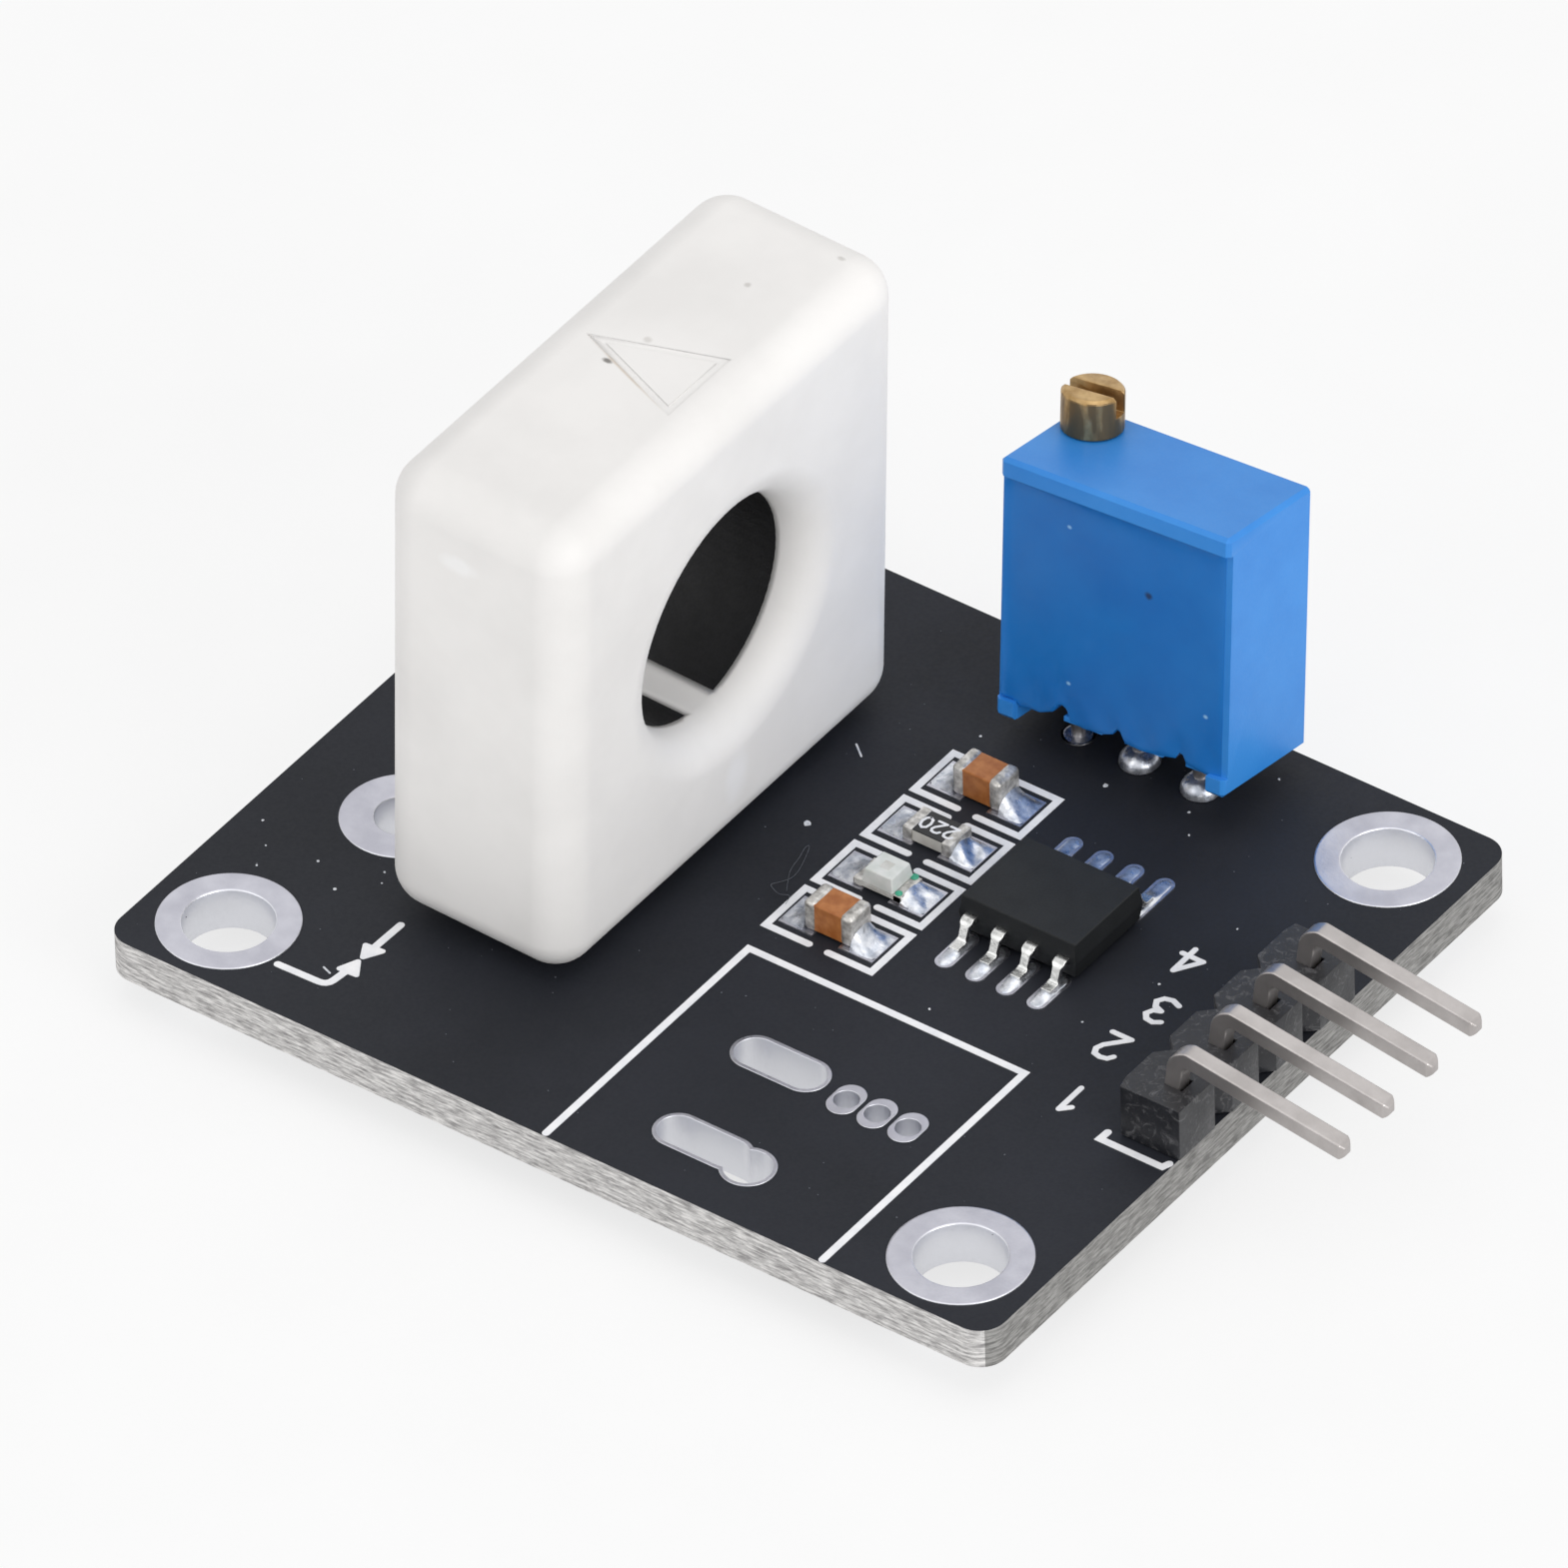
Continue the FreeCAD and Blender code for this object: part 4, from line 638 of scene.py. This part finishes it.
def rounded_box(low, high, radius, count=5):
    """A ball pulled apart into a box: each eighth of the ball moves to its own corner."""
    low, high = np.asarray(low, float), np.asarray(high, float)
    middle, half = (low + high) / 2, (high - low) / 2 - radius
    quarter = np.linspace(0, math.pi / 2, count)
    turn = np.concatenate([quarter + k * math.pi / 2 for k in range(4)])
    side = np.repeat(np.array([[1, 1], [-1, 1], [-1, -1], [1, -1]]), count, 0)
    rise = np.concatenate([quarter - math.pi / 2, quarter])
    up = np.repeat([-1, 1], count)
    ball = np.stack([np.cos(rise)[:, None] * np.cos(turn), np.cos(rise)[:, None] * np.sin(turn),
                     np.repeat(np.sin(rise)[:, None], turn.size, 1)], -1)
    corner = np.stack([np.repeat(side[None, :, 0], rise.size, 0), np.repeat(side[None, :, 1], rise.size, 0),
                       np.repeat(up[:, None], turn.size, 1)], -1)
    points = (middle + corner * half + ball * radius).reshape(-1, 3)
    return points, capped(rise.size, turn.size)


print("helpers are ready")

# %% [markdown]
# ## Screen printing
# The white marks are ink pressed through a mesh, about 0.02 mm thick, with rounded line ends. Each
# mark is a line with a width, so it is built as one outline: both sides of the line, joined by a half
# circle at each end, then raised by the ink's thickness. An arrow head is a triangle grown by a
# small radius.

# %% Ink lines
INK_THICKNESS = 0.02
MITRE_LIMIT = 0.45
STROKE_STEP = 0.03


def line_outline(points, width, cap=7):
    """Both sides of a line, offset by half its width with mitred corners, and a half circle at each end."""
    path = np.asarray(points, float)
    along = unit(np.diff(path, axis=0))
    ahead = np.vstack([along, along[-1:]])
    behind = np.vstack([along[:1], along])
    across, normal = unit(left_of(ahead + behind)), left_of(ahead)
    stretch = 1.0 / np.maximum(np.sum(across * normal, axis=1, keepdims=True), MITRE_LIMIT)
    offset = across * stretch * width / 2
    turn = np.linspace(0, math.pi, cap + 2)[1:-1, None]
    end_cap = path[-1] + (np.cos(turn) * normal[-1] + np.sin(turn) * along[-1]) * width / 2
    start_cap = path[0] - (np.cos(turn) * normal[0] + np.sin(turn) * along[0]) * width / 2
    return np.vstack([path + offset, end_cap, (path - offset)[::-1], start_cap])[::-1]


def raised(outlines, base, height):
    """Prisms over flat outlines. Crossing strokes differ a little in height, so no two tops share a plane."""
    blocks = []
    for number, outline in enumerate(outlines):
        top = base + height * (1 + STROKE_STEP * (number % 7))
        levels = [np.column_stack([outline, np.full(len(outline), z)]) for z in (base, top)]
        blocks.append((np.vstack(levels), capped(2, len(outline))))
    return gather(blocks)


def round_cornered(points, radius, count=6):
    """A convex outline grown by a radius: round each corner an arc between the normals of its two sides."""
    at = np.array(points)
    turn = np.sign(np.cross(at[1] - at[0], at[2] - at[1]))
    side = np.roll(at, -1, axis=0) - at
    outward = np.degrees(np.arctan2(-side[:, 0] * turn, side[:, 1] * turn))
    rows = []
    for corner, last, following in zip(at, np.roll(outward, 1), outward):
        sweep = (following - last + 180) % 360 - 180
        rows.append(arc(corner, radius, last, last + sweep, count))
    return np.vstack(rows)


def inked(name, outlines, base, height, slot="white_moulded_plastic", finish=print_ink):
    """A piece of low prisms over flat outlines, such as ink. No finish means the slot's own."""
    return piece_from(name, *raised(outlines, base, height), slot, finish)


LINE = 0.28
PART_ROW_X, PART_ROW_Y = 2.03, [-1.09 + row * 2.853 for row in range(4)]
BRACKET = ((0.4, 1.15), (2.19, 1.15), (2.19, -1.15), (0.4, -1.15))
footprint = [[(0.09, -15.1), (0.09, -3.56), (11.51, -3.56), (11.51, -15.1)]]
brackets = [[(PART_ROW_X + s * along, y + rise) for along, rise in BRACKET]
            for y in PART_ROW_Y for s in (-1, 1)]
header_mark = [[(15.57, -4.45), (15.55, -4.87), (18.1, -4.87), (18.2, -4.6)],
               [(18.16, -2.35), (18.16, -2.15)]]
path_mark = [rounded_path([(-12.51, -13.19), (-10.5, -13.13), (-10.4, -12.2)], 0.35),
             [(-10.34, -10.65), (-10.3, -9.22)]]
heads = [round_cornered([(-10.66, -12.2), (-9.99, -12.15), (-10.36, -11.55)], 0.1),
         round_cornered([(-9.99, -10.66), (-10.66, -10.72), (-10.36, -11.28)], 0.1)]
marks = [line_outline(line, LINE) for line in footprint + brackets + header_mark + path_mark]
inked("screen_print_lines", marks + heads, BOARD_TOP, INK_THICKNESS)
print("ink outlines:", len(marks) + len(heads))

# %% [markdown]
# ## Plain numbers at the header
# Each pin gets a plain number where boards carry their pin labels. The figures are strokes of a
# pen plotter: a few points each, carried by the same inked line as the rest of the print.

# %% Stroke figures
FIGURES = {
    "0": [[(0.3, 0.0), (0.08, 0.15), (0.0, 0.5), (0.08, 0.85), (0.3, 1.0), (0.52, 0.85), (0.6, 0.5),
           (0.52, 0.15), (0.32, 0.0)]],
    "1": [[(0.12, 0.76), (0.36, 1.0)], [(0.36, 1.0), (0.36, 0.0)]],
    "2": [[(0.0, 0.8), (0.1, 0.95), (0.3, 1.0), (0.5, 0.95), (0.58, 0.76), (0.5, 0.55), (0.0, 0.0)],
          [(0.0, 0.0), (0.6, 0.0)]],
    "3": [[(0.02, 0.88), (0.2, 1.0), (0.42, 0.97), (0.55, 0.8), (0.46, 0.6), (0.26, 0.53)],
          [(0.26, 0.53), (0.5, 0.44), (0.6, 0.25), (0.48, 0.06), (0.25, 0.0), (0.0, 0.1)]],
    "4": [[(0.46, 0.0), (0.46, 1.0)], [(0.46, 1.0), (0.0, 0.3)], [(0.0, 0.3), (0.66, 0.3)]],
}


def figure_lines(text, centre, height, turn=180.0, gap=0.9):
    """Strokes of a short number, centred on a point, scaled to a height and turned in the board's plane."""
    angle = math.radians(turn)
    spin = np.array([[math.cos(angle), math.sin(angle)], [-math.sin(angle), math.cos(angle)]])
    middle = ((len(text) - 1) * gap + 0.6) / 2
    return [((np.array(stroke) + [i * gap - middle, -0.5]) * height) @ spin + centre
            for i, figure in enumerate(text) for stroke in FIGURES[figure]]


NUMBER_SPOTS = ((13.6, -3.75), (13.1, -0.8), (13.4, 1.65), (12.75, 4.23))
NUMBER_HEIGHT, NUMBER_LINE = 1.3, 0.21
pin_lines = [line for number, spot in zip("1234", NUMBER_SPOTS)
             for line in figure_lines(number, spot, NUMBER_HEIGHT)]
inked("pin_numbers", [line_outline(line, NUMBER_LINE, 5) for line in pin_lines], BOARD_TOP, INK_THICKNESS)
print("numbered pins:", len(NUMBER_SPOTS))

# %% [markdown]
# ## Solder on the pads
# Molten solder wets the pad and climbs the metal end of a part, so it sets as a hollow slope: high
# at the part and thin at the pad's rim. Each mound is a height over the pad's own rectangle, which is
# quicker to shape than a moulded blob and never leaves its pad.

# %% Solder slopes
PLATING = 0.05
PAD_TOP = BOARD_TOP + PLATING


def slope_mound(centre, reach, width, climb, seed, side, rows=14, columns=13):
    """Height over a pad: it falls with the square of the distance from the part, and rolls off at the rim.
    A few random cosine waves roughen it, and the walls go down to the pad."""
    rng = np.random.default_rng(seed)
    along, across = np.meshgrid(np.linspace(0, 1, rows), np.linspace(-1, 1, columns), indexing="ij")
    rim = np.clip(1 - np.abs(across) ** 5, 0, 1) * np.clip(1 - along ** 7, 0, 1)
    height = 0.03 + climb * (1 - along) ** 2.2 * (1 - 0.35 * across ** 2)
    for _ in range(5):
        waves = rng.uniform(0.6, 1.9, 2)
        turn = rng.uniform(0, 2 * math.pi)
        height += 0.014 * np.cos(waves[0] * along * math.pi + waves[1] * across * math.pi + turn)
    height = np.maximum(height, 0.012) * rim
    x = centre[0] + side * along * reach
    y = centre[1] + across * width / 2 * (1 - 0.12 * along ** 3)
    return mound(x, y, PAD_TOP + height, PAD_TOP - 0.004)


CLIMB = (0.62, 0.3, 0.34, 0.62)
SLOPE_START, SLOPE_REACH, SLOPE_WIDTH = 0.97, 0.95, 1.42
slopes = [slope_mound((PART_ROW_X + s * SLOPE_START, y), SLOPE_REACH, SLOPE_WIDTH, CLIMB[i],
                      10 * i + s + 1, s) for i, y in enumerate(PART_ROW_Y) for s in (-1, 1)]
piece_from("chip_part_solder", *gather(slopes), "solder", smooth_angle=60)
print("solder slopes:", len(slopes))

# %% [markdown]
# ## Ceramic capacitors
# A chip capacitor is a fired orange block with a dipped metal cap on each end. The dip rounds every
# edge, so each block is a ball pulled apart into a box, and the caps stand a little proud of it.

# %% Capacitor blocks and their caps
CERAMIC_HALF, CAP_HALF, CAP_CENTRE = (0.93, 0.58), (0.25, 0.62), 0.75


def chip_block(x, y, half, low, high, radius):
    """A rounded box over the pads, from its centre, half its length and width, and its two heights."""
    return rounded_box((x - half[0], y - half[1], PAD_TOP + low),
                       (x + half[0], y + half[1], PAD_TOP + high), radius)


for label, y in (("capacitor_near", PART_ROW_Y[0]), ("capacitor_far", PART_ROW_Y[3])):
    block = chip_block(PART_ROW_X, y, CERAMIC_HALF, 0.04, 1.2, 0.07)
    piece_from(label + "_block", *block, "capacitor_ceramic", smooth_angle=60, replaced=[label + "_body"])
    caps = [chip_block(PART_ROW_X + s * CAP_CENTRE, y, CAP_HALF, 0.005, 1.25, 0.16) for s in (-1, 1)]
    piece_from(label + "_caps", *gather(caps), "tinned_lead", rough_tin, smooth_angle=60,
               replaced=[label + "_terminals"])
print("capacitors: 2")

# %% [markdown]
# ## Plated rings and soldered joints
# A plated hole is a thin tube with a flat land at each end, and the tin draws its inner rim round.
# It is one closed profile turned round the hole's axis. A soldered joint is a plug in such a hole
# with a hollow cone climbing the lead below the board, and on the trimmer also a dome above it.

# %% Rings and joints
RIM, SUPPORT, EDGE = 0.05, 0.04, 0.02
LIFT = 0.001


def eyelet(hole, land, centre, sides):
    """One closed profile: an inner rim of three points, the land and its edge, and the same upside down."""
    upper = [(hole, PAD_TOP - RIM), (hole + RIM * 0.3, PAD_TOP - RIM * 0.3), (hole + RIM, PAD_TOP),
             (hole + RIM + SUPPORT, PAD_TOP), (land - EDGE - RIM, PAD_TOP), (land - EDGE, PAD_TOP),
             (land, PAD_TOP - EDGE), (land, BOARD_TOP - LIFT), (hole + PLATING, BOARD_TOP - LIFT)]
    lower = [(radius, BOARD_TOP - height) for radius, height in reversed(upper)]
    return lathe(upper + lower, centre, sides, ring=True)


JOINT_FOOT, WET_RADIUS = -0.95, 0.72


def joint(hole, land, lead, centre, dome, seed):
    """From the axis over the dome, down through the hole, out to the lower land and in to the lead."""
    top, low = PAD_TOP + 2 * LIFT, -PLATING
    share = np.linspace(0, 1, 7)
    wet = min(land, WET_RADIUS) if dome > 0.2 else hole + 0.02
    bulge = [(wet * math.sin(t * math.pi / 2), top + dome * math.cos(t * math.pi / 2)) for t in share]
    slope = [(lead + (land - lead) * (1 - t) ** 2, low + (JOINT_FOOT - low) * t) for t in share]
    profile = [(LIFT, top + dome)] + bulge[1:] + [(hole, PAD_TOP), (hole, low)] + slope + [(LIFT, JOINT_FOOT)]
    return lathe(profile, centre, 40, wobble=0.05, seed=seed)


MOUNTS = [(sx * 15.2, sy * 12.35) for sx in (-1, 1) for sy in (-1, 1)]
HEADER_ROW = [(HEADER_X, y) for y in PIN_ROWS]
HALL_ROW = [(-7.4 + step * 1.27, 0.5) for step in (-1, 0, 1)]
TRIMMER_ROW = [(5.312 + step * 2.54, 11.789) for step in (-1, 0, 1)]
# Name, replaced node, radius of the hole, radii of the lands, places and number of sides.
RINGS = (
    ("mounting_rings", "mounting_hole_rings", 1.6, [2.5] * 4, MOUNTS, 96),
    ("post_ring", "post_hole_ring", 1.0, [2.2], [(-13.6, -4.6)], 96),
    ("hall_plated_holes", "hall_lead_rings", 0.36, [0.56] * 3, HALL_ROW, 40),
    ("trimmer_plated_holes", "trimmer_lead_rings", 0.5, [0.57, 0.66, 0.66], TRIMMER_ROW, 40),
    ("header_plated_holes", "header_pin_rings", 0.5, [0.95] * 4, HEADER_ROW, 40),
)
for name, node, hole, lands, spots, sides in RINGS:
    tubes = [eyelet(hole, land, spot, sides) for land, spot in zip(lands, spots)]
    piece_from(name, *gather(tubes), "tinned_copper", smooth_angle=50, replaced=[node])
# Replaced node, radii of the hole, the land and the lead, places, heights of the domes and first seed.
JOINTS = (
    ("header_solder", 0.5, 0.95, 0.34, HEADER_ROW, [0.0] * 4, 0),
    ("hall_lead_solder", 0.36, 0.56, 0.22, HALL_ROW, [0.0] * 3, 10),
    ("trimmer_solder", 0.5, 0.95, 0.28, TRIMMER_ROW, [0.04, 0.62, 0.62], 20),
)
for node, hole, land, lead, spots, domes, seed in JOINTS:
    blocks = [joint(hole, land, lead, spot, domes[i], seed + i) for i, spot in enumerate(spots)]
    piece_from(node + "_joints", *gather(blocks), "solder", smooth_angle=50, replaced=[node])
print("plated holes:", len(RINGS), "kinds; joints:", len(JOINTS), "kinds")

# %% [markdown]
# ## Amplifier leads and their solder
# Each lead is pressed from sheet: wide at the shoulder, narrow where it drops, and wide again at the
# foot. A flat section whose width changes is carried along the bent path. The pads are long with
# round ends and reach further out on the far side, and the solder stands highest at the lead's toe.

# %% Amplifier leads
AMP_X, AMP_Y = 7.85, 3.1
AMP_LEADS_X = [AMP_X + (k - 1.5) * 1.27 for k in range(4)]
LEAD_SPOTS = [(x, side) for x in AMP_LEADS_X for side in (-1, 1)]
SHEET_HALF = 0.1
LEAD_PATH = rounded_path([(1.65, 2.495), (2.19, 2.495), (2.5, 1.75), (3.0, 1.75)], 0.2, 7)
LEAD_WIDTH = np.interp(LEAD_PATH[:, 1] - (LEAD_PATH[:, 0] - 2.4) * 0.2, [1.63, 1.8, 1.95, 2.3, 2.45, 2.6],
                       [0.42, 0.42, 0.31, 0.31, 0.48, 0.48])


def bent_strip(x, side):
    """A flat section along the path: half the width each way in X, half the sheet along the normal."""
    normal = left_of(unit(np.gradient(LEAD_PATH, axis=0)))
    section = np.array([(-1, -1), (-1, 1), (1, 1), (1, -1)])
    path = LEAD_PATH[:, None, :] + normal[:, None, :] * section[None, :, 1:] * SHEET_HALF
    across = x + section[None, :, 0] * LEAD_WIDTH[:, None] / 2
    points = np.stack([across, AMP_Y + side * path[..., 0], path[..., 1]], -1).reshape(-1, 3)
    return points, capped(len(LEAD_PATH), 4)


strips = piece_from("amplifier_lead_strips", *gather([bent_strip(*spot) for spot in LEAD_SPOTS]),
                    "tinned_lead", bright_tin, smooth_angle=40, replaced=["amplifier_leads"])
wear(strips, 0.035, 30.0)

FAR_REACH = {1: 0.4, -1: -0.03}
PAD_START, PAD_STOP, PAD_WIDTH = 2.1, 3.5, 0.72
BEAD_START, BEAD_LENGTH, BEAD_HALF = 1.85, 1.95, 0.3


def pad_bead(x, side, seed, rows=26, columns=11):
    """Height over a long pad with half-round ends: a bead at the lead's toe, flat towards the outer end."""
    rng = np.random.default_rng(seed)
    length = BEAD_LENGTH + FAR_REACH[side]
    t = (1 - np.cos(np.linspace(0, math.pi, rows))) / 2
    along, across = np.meshgrid(t * length, np.linspace(-1, 1, columns), indexing="ij")
    inset = np.maximum(BEAD_HALF - np.minimum(along, length - along), 0)
    width = np.sqrt(np.maximum(BEAD_HALF ** 2 - inset ** 2, 1e-4))
    out = BEAD_START + along
    height = 0.07 + 0.11 * np.exp(-((out - 2.95) / 0.28) ** 2) + 0.05 * np.exp(-((out - 2.3) / 0.2) ** 2)
    height += 0.012 * np.cos(out * 5 + rng.uniform(0, 6)) * np.cos(across * 3 + rng.uniform(0, 6))
    height *= np.sqrt(np.clip(1 - across ** 2 * 0.97, 0, 1)) * (width / BEAD_HALF) ** 0.5
    return mound(x + across * width, AMP_Y + side * out, BOARD_TOP + height, BOARD_TOP - 0.002)


pads = [line_outline([(x, AMP_Y + side * PAD_START), (x, AMP_Y + side * (PAD_STOP + FAR_REACH[side]))],
                     PAD_WIDTH, 11) for x, side in LEAD_SPOTS]
inked("amplifier_pad_copper", pads, BOARD_TOP - LIFT, 0.04, "tinned_copper", None)
beads = [pad_bead(x, side, 40 + i) for i, x in enumerate(AMP_LEADS_X) for side in (-1, 1)]
piece_from("amplifier_pad_solder", *gather(beads), "solder", smooth_angle=60, replaced=["amplifier_pads"])
print("leads and pads:", len(beads))

# %% [markdown]
# ## The trimmer's face
# The case is a moulded box, closed at the front with poured resin that wets the rim and dries uneven.
# Between its front feet the case's edge is cut back, so the resin's lower edge is seen against the
# dark board, with a narrow notch beside each lead. The resin is two grids in the trimmer's own frame:
# a wavy front whose lower edge follows the notches, and a back that steps into the cavity.

# %% Trimmer case and resin
SIDE_LEAN, BACK_LEAN = math.radians(-4.4), math.radians(-9.7)
LEAN = np.array(Matrix.Rotation(SIDE_LEAN, 3, "Y")) @ np.array(Matrix.Rotation(BACK_LEAN, 3, "X"))
TRIMMER_FOOT = np.array([5.32, 12.43, 2.6])
RECESS_Y = -2.165
RESIN_LEFT, RESIN_RIGHT, RESIN_TOP = -4.6, 4.5, 9.36
CAVITY_HALF, CAVITY_LOW, CAVITY_HIGH, CAVITY_BACK = 4.12, 0.85, 8.68, -1.35


def leaned(points):
    """Points of the trimmer's own upright frame, tipped back and sideways and put on its foot."""
    return np.asarray(points, float).reshape(-1, 3) @ LEAN.T + TRIMMER_FOOT


def resin_face(rows=96, columns=120):
    """Front: waves along the foot's notches, a swell under the ledge and at the left, and ripples low down.
    Back: a step into the case."""
    x = np.linspace(RESIN_LEFT, RESIN_RIGHT, columns)
    edge_x = [-4.6, -4.2, -3.9, -3.5, -3.1, -2.5, -2.3, -2.15, -1.95, -1.8, -1.2, -0.4, 0.0, 0.12, 0.3, 0.48,
              1.2, 2.1, 2.6, 2.75, 2.9, 3.05, 3.6, 4.1, 4.3, 4.5]
    edge_z = [0.72, 0.68, 0.52, 0.6, 0.58, 0.8, 1.12, 1.18, 1.1, 0.66, 0.58, 0.66, 0.8, 1.02, 0.98, 0.62,
              0.56, 0.68, 0.78, 1.06, 1.0, 0.7, 0.62, 0.54, 0.7, 0.72]
    foot = np.interp(x, edge_x, edge_z)
    rise = np.linspace(0, 1, rows)[:, None] ** 1.15
    z = foot + rise * (RESIN_TOP - foot)
    x = np.repeat(x[None, :], rows, 0)
    swell = 0.14 * np.exp(-(RESIN_TOP - z) / 0.22) + 0.1 * np.exp(-(x - RESIN_LEFT) / 0.22)
    ripple = 0.05 * np.exp(-(z - foot) / 0.8) * np.cos(x * 4.2 + 1.0) * np.cos(z * 2.5)
    ripple += 0.008 * np.cos(x * 1.7 + z * 0.9)
    rim = 1 - np.exp(-(z - foot) / 0.06) * 0.9
    right = 1 - np.exp(-(RESIN_RIGHT - x) / 0.12) * 0.8
    depth = (0.045 + swell + ripple) * rim * right
    inside = (np.abs(x) < CAVITY_HALF) & (z > CAVITY_LOW) & (z < CAVITY_HIGH)
    front = np.stack([x, RECESS_Y - np.clip(depth, 0.006, 0.2), z], -1)
    back = np.stack([x, np.where(inside, CAVITY_BACK, RECESS_Y + 0.004), z], -1)
    points, faces = closed_grids(front, back)
    return leaned(points), faces


piece_from("trimmer_resin_face", *resin_face(), "blue_epoxy_resin", smooth_angle=60,
           replaced=["trimmer_resin"])

case = smooth_copy("trimmer_case", 0.08)
points, faces = rounded_box((-4.0, -2.6, -0.4), (4.0, 0.1, 0.6), 0.05, 3)
opening = piece_from("case_foot_opening", leaned(points), faces, "blue_moulded_plastic")
shaved = case.modifiers.new("open_foot", "BOOLEAN")
shaved.object, shaved.operation, shaved.solver = opening, "DIFFERENCE", "EXACT"
case.modifiers.move(1, 0)
graph = bpy.context.evaluated_depsgraph_get()
cut_mesh = bpy.data.meshes.new_from_object(case.evaluated_get(graph), depsgraph=graph)
case.modifiers.clear()
case.data = cut_mesh
bpy.data.objects.remove(opening)
print("trimmer case faces:", len(case.data.polygons))

# %% [markdown]
# ## Marks on the chip parts
# The resistor carries a printed number and the indicator two green dots that show its way round.
# They are ink, so they are the same thin raised outlines as the screen print.

# %% Resistor number, indicator dots and lens mark
value_lines = figure_lines("220", (2.12, PART_ROW_Y[2] - 0.03), 0.58, gap=0.86)
inked("resistor_number", [line_outline(line, 0.1, 4) for line in value_lines], 2.2, 0.008)
LENS_TOP = PAD_TOP + 0.28 + 0.55
dots = [arc((x, y), r, 0, 330, 12) for x, y, r in ((2.83, 1.3, 0.13), (2.76, 2.3, 0.15))]
inked("indicator_dots", dots, 1.925, 0.03, "clear_resin_lens", green_ink)
die = [arc((2.03, 1.763), 0.28, 45, 315, 4), arc((2.08, 1.8), 0.07, 0, 315, 8)]
inked("indicator_chip_mark", die, LENS_TOP - 0.004, 0.01, "white_laminate", None)
print("marks on chip parts:", len(value_lines) + len(dots) + len(die))

# %% [markdown]
# ## Dust
# The board was photographed as it lay on a bench, with specks of dust and one curled fibre on it. A
# speck is a flat flake with a ragged outline, and the fibre is a fine tube along a smooth line. The
# finest flakes are strewn by a seeded draw. One patch at the footprint's left line stays clean.

# %% Specks and a fibre
SPECKS = [(-13.25, -8.97, 0.07), (-2.1, 2.83, 0.15), (5.06, 10.14, 0.1), (-14.59, -8.12, 0.06),
          (-17.41, -7.45, 0.05), (-16.17, -9.46, 0.05), (-12.38, -7.31, 0.05), (-12.12, -7.82, 0.04),
          (-16.54, -8.45, 0.04), (8.22, 10.59, 0.06), (8.92, 9.61, 0.05), (0.07, 9.85, 0.05),
          (11.58, -0.32, 0.05), (13.09, 6.54, 0.05), (6.48, 6.11, 0.04), (6.95, -2.68, 0.05),
          (9.73, 13.72, 0.05), (12.57, 2.73, 0.05)]
SCRATCHES = ([(-11.14, -12.44), (-10.79, -12.57)], [(-3.16, 7.13), (-2.65, 6.71)])
FINE_COUNT, STREWN_HALF = 150, (17.8, 14.8)
CLEAN_CENTRE, CLEAN_HALF = (1.0, -10.0), (4, 3)
rng = np.random.default_rng(7)
strewn = np.column_stack([rng.uniform(-reach, reach, FINE_COUNT) for reach in STREWN_HALF]
                         + [rng.uniform(0.012, 0.032, FINE_COUNT)])
strewn = strewn[~(np.abs(strewn[:, :2] - CLEAN_CENTRE) < CLEAN_HALF).all(axis=1)]


def flake(x, y, radius):
    """Eight points round a centre, each at its own random share of the radius."""
    return arc((x, y), radius * rng.uniform(0.6, 1.15, 8), 0, 315, 8)


flakes = [flake(*spot) for spot in SPECKS]
fine_flakes = [flake(*spot) for spot in strewn.tolist()]
scratches = [line_outline(line, 0.07, 4) for line in SCRATCHES]
inked("dust_specks", flakes + scratches, BOARD_TOP - 0.002, 0.02, finish=dust)
inked("fine_dust", fine_flakes, BOARD_TOP - 0.002, 0.012, finish=faint_dust)

FIBRE = [(-0.6, -0.44), (-1.13, 0.46), (-1.16, 1.07), (-1.36, 1.7), (-1.31, 1.98), (-0.75, 0.34),
         (-1.09, -0.34), (-1.2, -0.6), (-0.64, -0.85), (-0.34, -0.51), (-0.23, -1.01)]


def fibre_tube(points, radius=0.009, sides=6, count=90):
    """A round section along a line averaged with its neighbours three times and lifted by a slow wave."""
    knots = np.asarray(points, float)
    share = np.linspace(0, len(knots) - 1, count)
    path = np.column_stack([np.interp(share, np.arange(len(knots)), knots[:, axis]) for axis in (0, 1)])
    for _ in range(3):
        path[2:-2] = (path[:-4] + path[1:-3] + path[2:-2] + path[3:-1] + path[4:]) / 5
    normal = left_of(unit(np.gradient(path, axis=0)))
    angle = np.arange(sides) * 2 * math.pi / sides
    lift = BOARD_TOP + 0.02 + 0.06 * (1 - np.cos(share * 1.3))
    across = normal[:, None, :] * np.cos(angle)[None, :, None] * radius
    height = (lift[:, None] + radius * np.sin(angle))[..., None]
    ring = np.concatenate([path[:, None, :] + across, height], -1)
    return ring.reshape(-1, 3), capped(count, sides)


piece_from("dust_fibre", *fibre_tube(FIBRE), "white_moulded_plastic", faint_dust, smooth_angle=60)
print("specks:", len(flakes + fine_flakes), "and one fibre")
